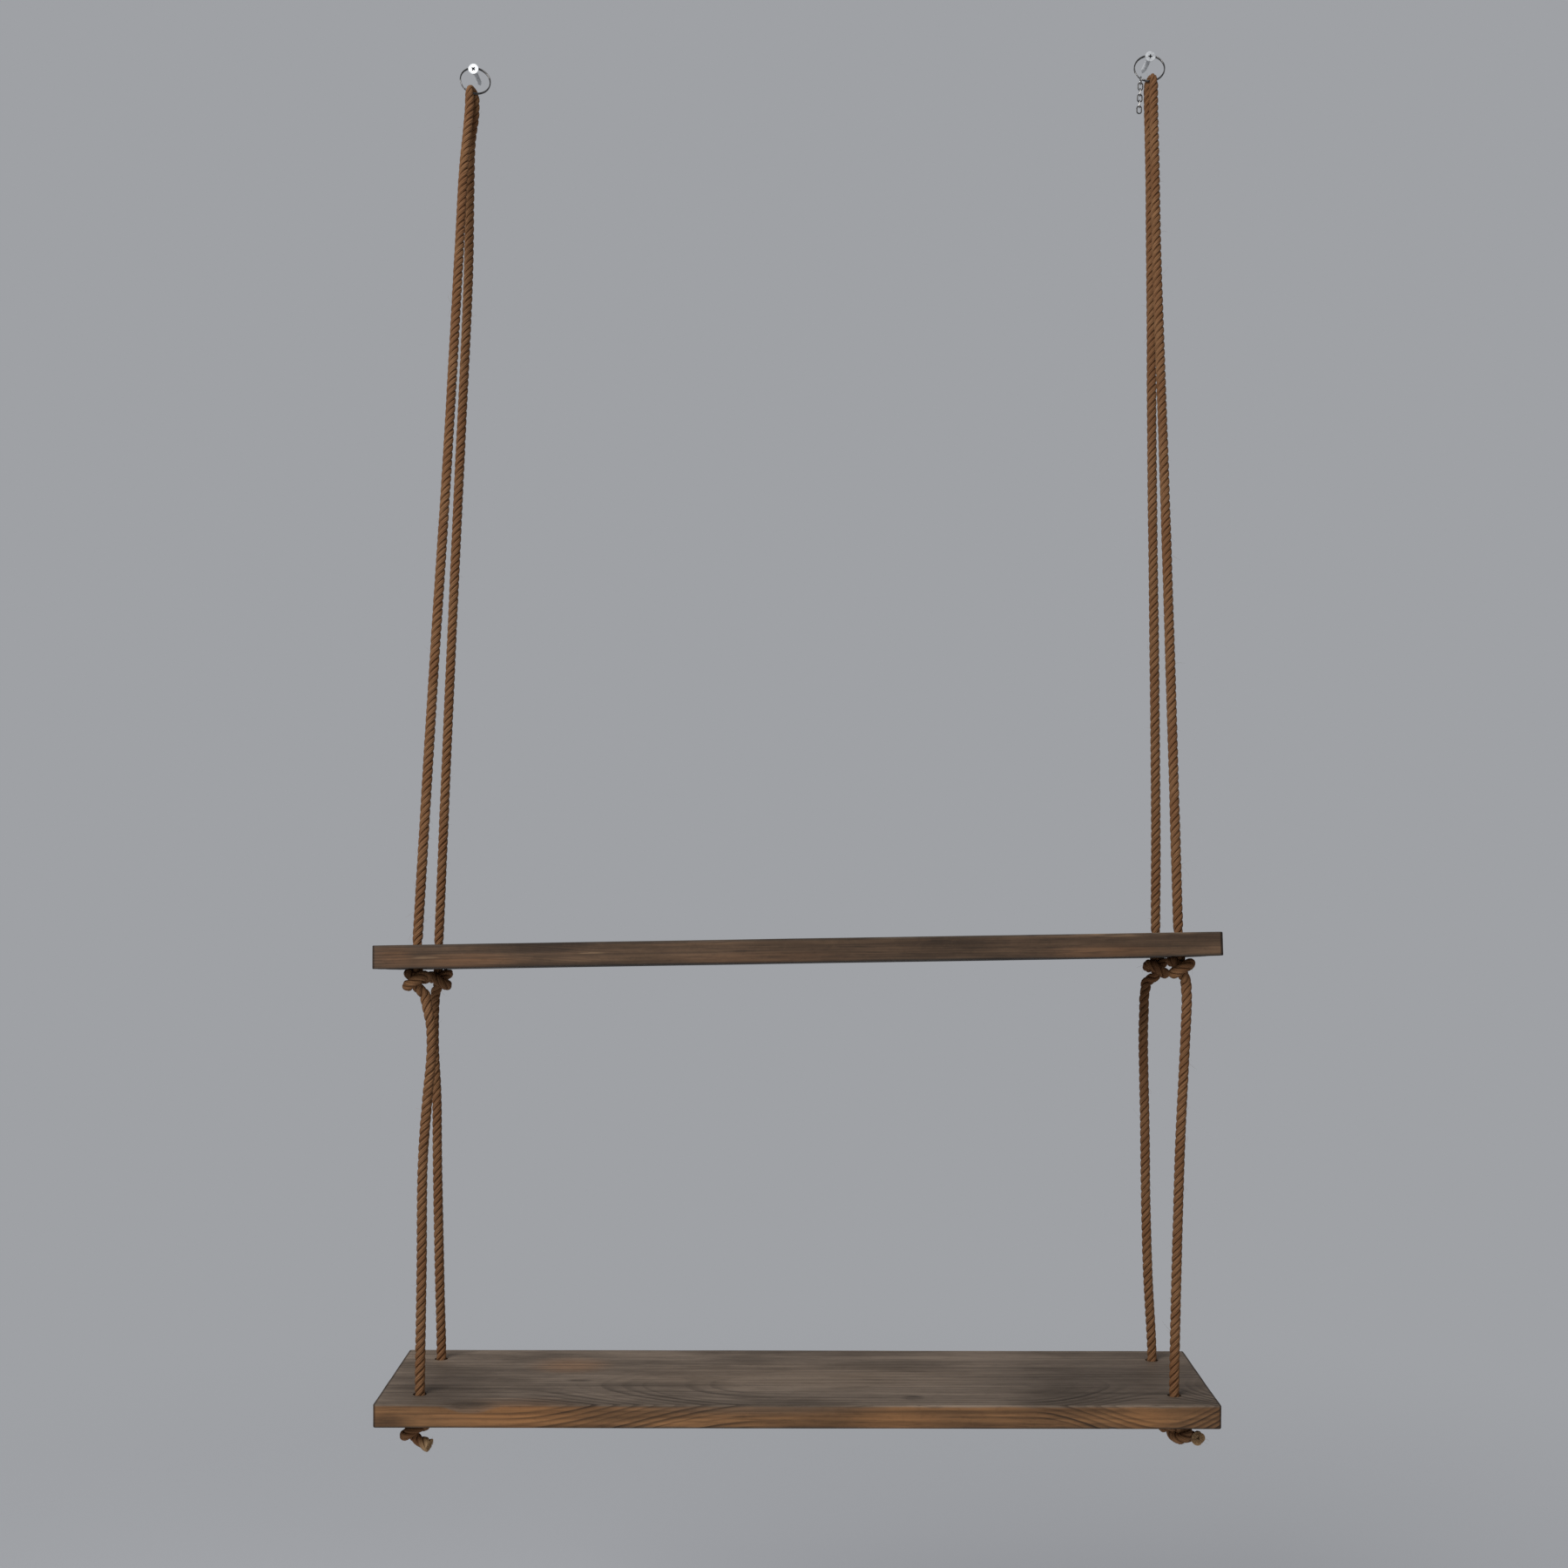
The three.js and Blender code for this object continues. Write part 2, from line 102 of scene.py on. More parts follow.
def photo_place(point):
    """Where a point of the room lands in the photo, in photo pixels from its top left corner."""
    seen = camera.matrix_world.inverted() @ Vector(point)
    scale = camera_data.lens / camera_data.sensor_width * PHOTO_WIDTH
    return PHOTO_WIDTH / 2 + scale * seen.x / -seen.z, PHOTO_WIDTH / 2 - scale * seen.y / -seen.z


for corner in ((-0.3, -0.15, -1.001), (0.3, -0.15, -1.001)):
    print("lower board, front top corner lands at", [round(x, 1) for x in photo_place(corner)])

# %% [markdown]
# ## How the boards and rings stand
# The rope's route starts from three things: where each board lies, where each ring hangs, and where the
# holes are. The upper board has slipped a little, so it tilts back and its right end is higher. Each
# place is a matrix that takes a point from the board or the ring to the room.

# %% Boards' and rings' places
BOARD_LENGTH, BOARD_DEPTH, BOARD_THICKNESS = 600 * MM, 150 * MM, 17 * MM
UPPER_HOLE_X, LOWER_HOLE_X, HOLE_Y = 273 * MM, 271 * MM, 48 * MM
HOLE_WIDTH = 10 * MM
ROPE = 6.5 * MM
KNOTTED_ROPE = 5.6 * MM
WIRE = 0.9 * MM
LEFT_SCREW, RIGHT_SCREW = (-249.7 * MM, -10.4 * MM), (272.1 * MM, 0)
RING_RADIUS = 11.55 * MM
RING_TURN_PITCH = 1.2 * MM
RING_TILT = math.radians(18)


def turned(axis, radians):
    return Matrix.Rotation(radians, 4, axis)


def board_place(drop, wall_gap, tilt_back, right_up):
    reach = BOARD_DEPTH / 2 * math.cos(tilt_back) + BOARD_THICKNESS / 2 * math.sin(tilt_back)
    middle = Matrix.Translation((0, -wall_gap - reach, -drop))
    return middle @ turned("X", -tilt_back) @ turned("Y", -right_up)


def ring_place(screw_x, screw_z, turn):
    shank, seat_gap, wall_gap = 4 * MM, 0.5 * MM, 0.5 * MM
    half_width = (RING_TURN_PITCH + WIRE) / 2
    rest = (shank + WIRE) / 2 + seat_gap
    drop = RING_RADIUS * math.cos(RING_TILT) - RING_TURN_PITCH / 2 * math.sin(RING_TILT) - rest
    out = wall_gap + half_width + RING_RADIUS * math.hypot(math.sin(RING_TILT), math.sin(turn))
    return Matrix.Translation((screw_x, -out, screw_z - drop)) @ turned("Z", turn) @ turned("X", -RING_TILT)


upper_board = board_place(686.2 * MM, 5 * MM, math.radians(5), math.radians(1))
lower_board = board_place(1009.5 * MM, 0, 0, 0)
left_ring = ring_place(*LEFT_SCREW, math.radians(16))
right_ring = ring_place(*RIGHT_SCREW, math.radians(-4))
print("upper board's middle", [round(x, 4) for x in upper_board.translation])
print("left ring's middle", [round(x, 4) for x in left_ring.translation])

# %% [markdown]
# ## The ropes' route
# Each side is one rope. It starts at a cut tail below the lower board, makes a stopper knot, goes up
# through the front hole, makes an overhand knot below the upper board, goes up to the ring, turns over
# its wire and comes down the same way at the back. The points below are listed along that way.
# All knots share one list of points, tied right- or left-handed and turned: its strands are low on one
# side and high on the other. The numbers in the table are shares of the rope's thickness, except for the
# sides, rows and hands, which are signs, the turns, which are angles, and each bow's first number, which
# is the share of the way down.

# %% Points of the route
QUARTER = math.pi / 2
KNOT_POINTS = [
    (-0.34, 0.05, 0.95), (-0.46, -0.12, 0.5), (-0.42, -0.45, -0.1), (-0.14, -0.86, -0.54),
    (0.36, -1.08, -0.68), (0.9, -0.98, -0.62), (1.24, -0.56, -0.38), (1.27, 0.02, 0.0),
    (1.0, 0.52, 0.32), (0.52, 0.75, 0.4), (0, 0.77, 0.3), (-0.52, 0.75, 0.15),
    (-1.0, 0.52, 0.08), (-1.27, 0.02, 0.2), (-1.24, -0.56, 0.42), (-0.9, -0.98, 0.62),
    (-0.36, -1.08, 0.68), (0.14, -0.86, 0.54), (0.42, -0.45, 0.1), (0.46, -0.12, -0.5),
    (0.34, 0.05, -0.95),
]
ENTRY_SHIFTS = {0: 0.5, 1: 0.8}
KNOT_TOP = 0.68
JOINT_GAP = 0.8 * MM
SEAT_GAP = 0.3 * MM
BIGHT_SQUEEZE = 0.64
BIGHT_CLEARANCE = 0.1 * MM
KNOT_DROP = BOARD_THICKNESS / 2 + SEAT_GAP + KNOT_TOP * ROPE + KNOTTED_ROPE / 2
EXIT_DROP = 2
MOUTH_SHIFT = 0.4

LEGS = {
    "left_front": dict(
        side=-1, row=-1, upper_bows=[(0.08, -0.2), (0.2, -0.13), (0.45, 0), (0.7, -0.06)],
        upper_knot=dict(hand=1, turn=-QUARTER, shift=0.2, exit=0.76, lean=0.2),
        lower_bows=[(0.06, 0.55), (0.13, 0.68), (0.25, 0.32), (0.42, -0.08), (0.7, -0.02)],
        lower_knot=dict(hand=1, turn=-1.15 * QUARTER, shift=-0.4),
        tail=[(0.1, -0.5, -1.28), (0.65, -0.68, -1.48), (1.2, -0.85, -1.68)],
    ),
    "left_rear": dict(
        side=-1, row=1, upper_bows=[(0.04, -0.3), (0.2, 0.06), (0.45, 0), (0.7, -0.04)],
        upper_knot=dict(hand=-1, turn=QUARTER, shift=0, exit=-0.35, lean=-0.05),
        lower_bows=[(0.13, -0.19), (0.27, 0), (0.45, -0.06), (0.8, -0.05)],
        lower_knot=dict(hand=1, turn=QUARTER, shift=0),
        tail=[(-0.2, 0.4, -1.5), (-0.55, 0.5, -2.0), (-0.8, 0.55, -2.5)],
    ),
    "right_front": dict(
        side=1, row=-1, upper_bows=[(0.1, -0.1), (0.2, -0.2), (0.45, -0.06), (0.7, 0)],
        upper_knot=dict(hand=1, turn=-QUARTER, shift=0.34, exit=0.34, lean=0.02),
        lower_bows=[(0.13, 0.05), (0.38, -0.15), (0.6, -0.15), (0.8, -0.1)],
        lower_knot=dict(hand=1, turn=-0.1 * QUARTER, shift=0.1),
        tail=[
            (0.8, 0.3, -1.15), (1.5, 0.4, -0.98), (2.15, 0.2, -0.85), (2.45, -0.35, -0.8), (2.5, -0.8, -0.8),
        ],
    ),
    "right_rear": dict(
        side=1, row=1, upper_bows=[(0.08, 0.12), (0.2, 0.14), (0.45, 0.07), (0.7, 0.14), (0.9, 0.12)],
        upper_knot=dict(hand=-1, turn=QUARTER, shift=-0.2, exit=-1.08, lean=-0.18),
        lower_bows=[(0.05, -0.2), (0.13, -0.35), (0.38, -0.35), (0.6, -0.4), (0.8, -0.3)],
        lower_knot=dict(hand=1, turn=QUARTER, shift=0),
        tail=[(0.2, 0.4, -1.5), (0.45, 0.5, -2.0), (0.55, 0.55, -2.5)],
    ),
}


def hole_of(leg, hole_x):
    return Vector((leg["side"] * hole_x, leg["row"] * HOLE_Y, 0))


def on_board(hole, shares):
    """A point given in shares of the rope's thickness from the middle of the knot below a hole."""
    return Vector(shares) * ROPE + hole - Vector((0, 0, KNOT_DROP))


def knot_route(hole, knot):
    """From just below the middle of the hole to the end of the knot's coil, in the board's frame."""
    coil = []
    for i, (x, y, z) in enumerate(KNOT_POINTS):
        point = turned("Z", knot["turn"]) @ Vector((knot["hand"] * x, y, z))
        coil.append(on_board(hole, point + Vector((knot["shift"] * ENTRY_SHIFTS.get(i, 1), 0, 0))))
    mouth = Vector((MOUTH_SHIFT * knot["shift"] * ROPE, 0, -BOARD_THICKNESS / 2))
    return [hole - Vector((0, 0, BOARD_THICKNESS / 4)), hole + mouth] + coil


def bowed(top, bottom, bows):
    return [top.lerp(bottom, down) + Vector((bow * ROPE, 0, 0)) for down, bow in bows]


def upper_leg_route(leg, start):
    """From below the ring down to the mouth of the upper board's hole, in the room."""
    hole = upper_board @ (hole_of(leg, UPPER_HOLE_X) + Vector((0, 0, JOINT_GAP / 2)))
    mouth = start.lerp(hole, 1 - BOARD_THICKNESS / (start - hole).length)
    below = start - Vector((0, 0, 2 * ROPE))
    return [below] + bowed(below, mouth, leg["upper_bows"]) + [mouth]


def half_side_route(leg, start):
    """One leg from below the ring to its cut tail: its points, and the count of points before each cut."""
    points = upper_leg_route(leg, start)
    cuts = [len(points)]
    upper, lower = hole_of(leg, UPPER_HOLE_X), hole_of(leg, LOWER_HOLE_X)
    points += [upper_board @ upper] + [upper_board @ p for p in knot_route(upper, leg["upper_knot"])]
    knot = leg["upper_knot"]
    out = Vector((knot["lean"], 0, -1)).normalized() * ROPE / 3
    end = on_board(upper, (knot["shift"] + knot["exit"], 0, -EXIT_DROP))
    points += [upper_board @ (end - out)]
    way = (upper_board.to_3x3() @ out).normalized()
    leave = upper_board @ (end + out)
    cuts.append(len(points))
    points += [leave + way * JOINT_GAP / 2, leave + way * (JOINT_GAP + ROPE)]
    top = leave + way * JOINT_GAP
    above = lower_board @ (lower + Vector((0, 0, JOINT_GAP / 2 + BOARD_THICKNESS)))
    points += bowed(top, above, leg["lower_bows"]) + [above]
    cuts.append(len(points))
    points += [lower_board @ lower] + [lower_board @ p for p in knot_route(lower, leg["lower_knot"])]
    points += [lower_board @ on_board(lower, shares) for shares in leg["tail"]]
    return points, cuts


def bight_route(ring, seat_angle, skew):
    """The turn of the rope over the ring's lowest wire, from front to back."""
    up = Vector((math.sin(seat_angle), 0, math.cos(seat_angle)))
    along = Vector((math.cos(seat_angle), 0, -math.sin(seat_angle)))
    width = ROPE / 2 + (RING_TURN_PITCH + WIRE) / 2 + BIGHT_CLEARANCE
    height = (BIGHT_SQUEEZE * ROPE + WIRE) / 2 + BIGHT_CLEARANCE
    points = []
    for degrees in range(0, 181, 30):
        angle = math.radians(degrees)
        point = -RING_RADIUS * up + Vector((0, -width * math.cos(angle), 0))
        point += up * height * math.sin(angle) + along * skew * ROPE * math.cos(angle)
        points.append(ring @ point)
    return points


# %% [markdown]
# ## A smooth line through the points
# A taut rope bends gently, so the line through the given points is a spline whose bends don't swing
# out where long and short spans meet. It is measured along its length, because the twist of a rope, the
# pieces it is cut into and its real length all count from there.


# %% Spline and its length
def spline(points, samples_per_span=24):
    """Points close together on a smooth line, and each one's place between the given points."""
    given = np.array([tuple(p) for p in points])
    given = np.vstack([2 * given[0] - given[1], given, 2 * given[-1] - given[-2]])
    line, count = [], []
    for i in range(1, len(given) - 2):
        before, a, b, after = given[i - 1:i + 3]
        d0, d1, d2 = (max(np.linalg.norm(q - p), 1e-8) ** 0.5 for p, q in ((before, a), (a, b), (b, after)))
        leave = ((a - before) / d0 - (b - before) / (d0 + d1) + (b - a) / d1) * d1
        reach = ((b - a) / d1 - (after - a) / (d1 + d2) + (after - b) / d2) * d1
        for t in np.arange(samples_per_span) / samples_per_span:
            bend = (2 * a - 2 * b + leave + reach) * t**3 + (3 * b - 3 * a - 2 * leave - reach) * t**2
            line.append(a + leave * t + bend)
            count.append(i - 1 + t)
    return np.vstack([line, given[-2]]), np.append(count, len(given) - 3)


def length_along(line):
    steps = np.linalg.norm(np.diff(line, axis=0), axis=1)
    return np.concatenate([[0], np.cumsum(steps)])


def side_line(side, ring, seat_angle, skew):
    """One side's whole rope: its line, and each stretch's name, start and end along the line."""
    front, rear = side + "_front", side + "_rear"
    bight = bight_route(ring, seat_angle, skew)
    front_points, front_cuts = half_side_route(LEGS[front], bight[0])
    rear_points, rear_cuts = half_side_route(LEGS[rear], bight[-1])
    points = front_points[::-1] + bight + rear_points
    first_rear = len(front_points) + len(bight)
    cuts = [len(front_points) - 1 - cut for cut in reversed(front_cuts)]
    cuts += [first_rear + cut for cut in rear_cuts]
    names = [
        front + "_lower_knot", front + "_lower_rope", front + "_upper_knot", side + "_upper_rope",
        rear + "_upper_knot", rear + "_lower_rope", rear + "_lower_knot",
    ]
    line, place = spline(points)
    along = length_along(line)
    ends = [0] + [float(np.interp(cut, place, along)) for cut in cuts] + [float(along[-1])]
    return line, along, [(name, ends[i], ends[i + 1]) for i, name in enumerate(names)]


sides = {
    "left": side_line("left", left_ring, math.radians(14), -0.42),
    "right": side_line("right", right_ring, math.radians(-4), 0.25),
}
for side, (line, along, stretches) in sides.items():
    print(side, "rope is", round(float(along[-1]), 4), "m from tail to tail")
    for name, start, end in stretches:
        print("   ", name, round(end - start, 4), "m")

# %% [markdown]
# ## The jute rope
# The rope is three strands laid up to the right, so its bands rise to the right like the bar of a Z. A
# strand pressed between the two others is no longer round: it is a fat wedge with a round back. One cut
# face of that shape is carried along the line and turned with it, one turn every 18 mm. The rope is a
# little thicker in the knots, so that their turns touch, and it opens at a cut tail. An upper rope is
# squeezed where it turns over the ring's wire, and a little thinner near the ring and at its ends, where
# it passes the chain and goes through a hole. The line's own turn is carried along without twist, and
# each stretch goes on where the one before it ended, so the lay has no break where a stretch ends.

# %% Strands of the rope
LAY = 18 * MM
RING_STEP = 1.25 * MM
STRAND_ANGLES = (0, 24, 48, 72, 96, 116, 136, 158, 180, 202, 224, 244, 264, 288, 312, 336)
STRAND_MIDDLE, STRAND_OUT, STRAND_SIDE = 0.6, 0.5, 0.7
CORE, WALL_GAP = 0.16, 0.012


def strand_outline():
    """Corners of one strand's cut face: how far out and how far round, in shares of the rope's radius."""
    corners = []
    for degrees in STRAND_ANGLES:
        angle = math.radians(degrees)
        out = max(STRAND_MIDDLE + STRAND_OUT * math.cos(angle), CORE)
        wall = out * math.tan(math.radians(60)) - WALL_GAP
        corners.append((out, min(max(STRAND_SIDE * math.sin(angle), -wall), wall)))
    return np.array(corners)


OUTLINE = strand_outline()
print("strand corners from the middle", np.round(np.hypot(*OUTLINE.T) * ROPE / 2 / MM, 2), "mm")


def carried_frames(centres):
    """Two directions across the line at each of its points, carried along it without any twist."""
    ways = np.gradient(centres, axis=0)
    ways /= np.linalg.norm(ways, axis=1)[:, None]
    across = np.cross(ways[0], (1.0, 0.3, 0.1))
    across /= np.linalg.norm(across)
    first = [across]
    for way in ways[1:]:
        across = across - way * across.dot(way)
        across = across / np.linalg.norm(across)
        first.append(across)
    first = np.array(first)
    return ways, first, np.cross(ways, first)


def ease(low, high, x):
    t = np.clip((x - low) / (high - low), 0, 1)
    return t * t * (3 - 2 * t)


def slow_noise(along, wave, seed):
    """A smooth wandering value between about -1 and 1 along the rope."""
    draw = np.random.default_rng(seed)
    knots = draw.uniform(-1, 1, int(along.max() / wave) + 3)
    return np.interp(along / wave, np.arange(len(knots)), knots)


KNOT_SWELL, KNOT_EASE = 0.2 * MM, 3 * MM
TAIL_SPREAD, TAIL_SWELL, TAIL_OPENS = 0.04, 0.26, 9 * MM
ROPE_FULLNESS = 1.04
SQUEEZED_WITHIN = (2 * MM, 11 * MM)
RING_THINNING, THIN_NEAR_RING = 0.05, (40 * MM, 70 * MM)
HOLE_THINNING, THIN_IN_HOLE = 0.11, (10.5 * MM, 14 * MM)
THICKNESS_WANDER, THICKNESS_WAVE = 0.025, 31 * MM
LAY_WANDER, LAY_WAVE = 0.35, 70 * MM
STRAND_WANDER, STRAND_WAVE = 0.03, 23 * MM
STRETCH_OVERLAP = 0.35 * MM
# Where a strand's outline lies deep enough to get the painted shade of the grooves, and how much of that
# painted shade a cut face gets.
GROOVE_FLOOR, GROOVE_HEIGHT, CAP_GROOVE_SHADE = 0.5, 0.42, 0.3


def rope_radius(along, stretches):
    """The rope's radius along its line."""
    thick = np.full(len(along), ROPE / 2)
    for name, start, end in stretches:
        if name.endswith("knot"):
            past_start = ease(start - KNOT_EASE, start + KNOT_EASE, along)
            before_end = 1 - ease(end - KNOT_EASE, end + KNOT_EASE, along)
            inside = past_start * before_end
            if start == 0:
                inside = before_end
            if end == stretches[-1][2]:
                inside = past_start
            thick += inside * KNOT_SWELL
        if name.endswith("upper_rope"):
            from_ring = np.abs(along - (start + end) / 2)
            thick *= 1 - (1 - BIGHT_SQUEEZE) * (1 - ease(*SQUEEZED_WITHIN, from_ring))
            thick *= 1 - RING_THINNING * (1 - ease(*THIN_NEAR_RING, from_ring))
            from_end = np.minimum(np.abs(along - start), np.abs(along - end))
            thick *= 1 - HOLE_THINNING * (1 - ease(*THIN_IN_HOLE, from_end))
    return thick


def tail_opening(along, total):
    """1 at a cut tail's end, 0 a few millimetres before it."""
    return 1 - ease(0, TAIL_OPENS, np.minimum(along, total - along))


BOARD_OF_KNOT = {"upper_knot": (upper_board, UPPER_HOLE_X), "lower_knot": (lower_board, LOWER_HOLE_X)}
REST_GAP = 0.15 * MM


def pressed_flat(corners, board, hole_x):
    """A knot pulled up against the board: what would stand in the wood is moved down to its underside."""
    turn, shift = np.array(board.to_3x3()), np.array(board.translation)
    own = (corners - shift) @ turn
    from_hole = np.hypot(np.abs(own[:, 0]) - hole_x, np.abs(own[:, 1]) - HOLE_Y)
    underside = -BOARD_THICKNESS / 2 - REST_GAP
    mouth = HOLE_WIDTH / 2 - REST_GAP
    in_wood = (own[:, 2] > underside) & (from_hole > mouth)
    deep = in_wood & (own[:, 2] - underside > from_hole - mouth)
    flat = in_wood & ~deep
    own[flat, 2] = underside
    for axis, middle in ((0, hole_x), (1, HOLE_Y)):
        side = np.sign(own[deep, axis]) * middle
        own[deep, axis] = side + (own[deep, axis] - side) * mouth / from_hole[deep]
    return own @ turn.T + shift


def rope_rings(side, seed):
    """Everything a stretch needs at each cross cut of one side's rope."""
    line, along, stretches = sides[side]
    total = along[-1]
    starts, places = [], []
    for name, start, end in stretches:
        steps = int(math.ceil((end - start) / RING_STEP))
        starts.append(sum(len(p) for p in places))
        first_place, last_place = max(start - STRETCH_OVERLAP, 0), min(end + STRETCH_OVERLAP, total)
        places.append(np.linspace(first_place, last_place, steps + 1))
    place = np.concatenate(places)
    centres = np.column_stack([np.interp(place, along, line[:, k]) for k in range(3)])
    ways, first, second = carried_frames(centres)
    opening = tail_opening(place, total)
    uneven = ROPE_FULLNESS + THICKNESS_WANDER * slow_noise(place, THICKNESS_WAVE, seed)
    radius = rope_radius(place, stretches) * uneven * (1 + TAIL_SWELL * opening)
    turn = 2 * math.pi * place / LAY + LAY_WANDER * slow_noise(place, LAY_WAVE, seed + 1)
    rings = dict(
        place=place, centres=centres, ways=ways, first=first, second=second, radius=radius, turn=turn,
        opening=opening,
    )
    return rings, starts + [len(place)], stretches


def mesh_object(name, corners, faces):
    mesh = bpy.data.meshes.new(name)
    mesh.from_pydata(corners.tolist(), [], faces)
    mesh.update()
    made = bpy.data.objects.new(name, mesh)
    bpy.context.scene.collection.objects.link(made)
    return made


def sharpen_between(mesh, marked):
    """Marks the edges between marked corners as sharp, so a cut end doesn't shade the rope's side."""
    ends = np.zeros(2 * len(mesh.edges), int)
    mesh.edges.foreach_get("vertices", ends)
    sharp = marked[ends.reshape(-1, 2)].all(axis=1)
    mesh.attributes.new("sharp_edge", "BOOLEAN", "EDGE").data.foreach_set("value", sharp)


def set_values(mesh, name, kind, domain, values):
    """Stores one value for each corner, or each face's corner, under a name the material reads."""
    layer = mesh.attributes.new(name, kind, domain)
    layer.data.foreach_set("value" if kind == "FLOAT" else "vector", np.asarray(values, np.float32).ravel())


def rope_stretch(name, rings, low, high, seed, board=None):
    """Three closed strands between two cross cuts of the line."""
    count, sides_of_strand = high - low, len(OUTLINE)
    corners, faces, groove_shades, pale, lay_places, end_marks = [], [], [], [], [], []
    for strand in range(3):
        base = sum(len(c) for c in corners)
        swell = 1 + STRAND_WANDER * slow_noise(rings["place"], STRAND_WAVE, seed + 10 + strand)[low:high]
        angle = rings["turn"][low:high] + strand * 2 * math.pi / 3
        spread = 1 + TAIL_SPREAD * rings["opening"][low:high]
        first, second = rings["first"][low:high], rings["second"][low:high]
        out = np.cos(angle)[:, None] * first + np.sin(angle)[:, None] * second
        round_way = -np.sin(angle)[:, None] * first + np.cos(angle)[:, None] * second
        radius = rings["radius"][low:high]
        reach = (OUTLINE[None, :, 0] - STRAND_MIDDLE) * swell[:, None] + STRAND_MIDDLE * spread[:, None]
        sideways = OUTLINE[None, :, 1] * np.minimum(swell, 1)[:, None]
        ring = rings["centres"][low:high][:, None, :] + radius[:, None, None] * (
            reach[:, :, None] * out[:, None, :] + sideways[:, :, None] * round_way[:, None, :])
        caps = ring[[0, -1]].mean(axis=1)
        corners += [ring.reshape(-1, 3), caps]
        of_end = np.zeros(count * sides_of_strand + 2, bool)
        of_end[:sides_of_strand] = True
        of_end[-2 - sides_of_strand:-2] = True
        end_marks.append(of_end)
        # How deep each corner of the outline lies between the strands, kept for the painted shade of the
        # grooves.
        groove_shade = 1 - np.clip((np.hypot(*OUTLINE.T) - GROOVE_FLOOR) / GROOVE_HEIGHT, 0, 1)
        groove_shades += [np.tile(groove_shade, count), np.array([CAP_GROOVE_SHADE, CAP_GROOVE_SHADE])]
        pale += [np.repeat(rings["opening"][low:high], sides_of_strand), rings["opening"][[low, high - 1]]]
        first_cap = base + count * sides_of_strand
        turn_share = np.append(np.array(STRAND_ANGLES) / 360, 1) + strand
        for i in range(count - 1):
            for k in range(sides_of_strand):
                n = (k + 1) % sides_of_strand
                a, b = base + i * sides_of_strand, base + (i + 1) * sides_of_strand
                faces.append((a + k, a + n, b + n, b + k))
                here, there = rings["place"][low + i], rings["place"][low + i + 1]
                u, w = turn_share[k], turn_share[k + 1]
                lay_places += [(u, here), (w, here), (w, there), (u, there)]
        for k in range(sides_of_strand):
            n = (k + 1) % sides_of_strand
            last = base + (count - 1) * sides_of_strand
            faces += [(base + n, base + k, first_cap), (last + k, last + n, first_cap + 1)]
            for end in (low, high - 1):
                lay_places += [(strand + 0.5, rings["place"][end])] * 3
    corners = np.concatenate(corners)
    if board is not None:
        corners = pressed_flat(corners, *board)
    rope = mesh_object(name, corners, faces)
    sharpen_between(rope.data, np.concatenate(end_marks))
    set_values(rope.data, "groove_shade", "FLOAT", "POINT", np.concatenate(groove_shades))
    set_values(rope.data, "cut_end", "FLOAT", "POINT", np.concatenate(pale))
    uv = rope.data.uv_layers.new(name="lay")
    uv.data.foreach_set("uv", np.array(lay_places, np.float32).ravel())
    rope.data.polygons.foreach_set("use_smooth", [len(face) == 4 for face in faces])
    return rope


rope_pieces, rope_lines = {}, {}
for seed, side in ((100, "left"), (200, "right")):
    rings, starts, stretches = rope_rings(side, seed)
    for i, (name, start, end) in enumerate(stretches):
        low, high = starts[i], starts[i + 1]
        board = BOARD_OF_KNOT.get(name[-10:])
        rope_pieces[name] = rope_stretch("jute_" + name, rings, low, high, seed, board)
        rope_lines[name] = (side, rings, low, high)
        triangles = sum(len(face.vertices) - 2 for face in rope_pieces[name].data.polygons)
        print(name, triangles, "triangles")

# %% [markdown]
# ## Loose fibres
# Jute is short fibre, so its ends stand out of the rope all along as thin hairs, and a cut tail is a
# small brush. Each hair starts under a strand's back, leaves it at a slant and curls away. The first and
# last steps of a rope stretch stay bare, because a hair there would run into a board. Hairs are meshes of
# their own, one for each stretch, because they belong to no strand.


# %% Hairs on the rope
HAIRS_PER_METRE, BARE_STEPS = 620, 12
HAIR_ROOT = 0.86
USUAL_HAIR, HAIR_SPREAD, LONGEST_HAIR = 2.6, 0.55, 11
BRISTLES, BRISTLE_WIDTH = 420, 0.34 * MM


def hair(start, way, curl, length, thickness, steps=5):
    """Corners and faces of one thin closed hair that bends by the same small curl at each step."""
    corners, faces = [], []
    point, way = np.array(start), way / np.linalg.norm(way)
    for i in range(steps + 1):
        across = np.cross(way, (0.31, 0.57, 0.76))
        across /= np.linalg.norm(across)
        over = np.cross(way, across)
        width = thickness / 2 * (1 - 0.7 * i / steps)
        for k in range(3):
            angle = 2 * math.pi * k / 3
            corners.append(point + width * (math.cos(angle) * across + math.sin(angle) * over))
        point = point + way * length / steps
        way = way + curl / steps
        way /= np.linalg.norm(way)
    for i in range(steps):
        for k in range(3):
            n = (k + 1) % 3
            faces.append((3 * i + k, 3 * i + n, 3 * i + 3 + n, 3 * i + 3 + k))
    faces += [(2, 1, 0), (3 * steps, 3 * steps + 1, 3 * steps + 2)]
    return corners, faces


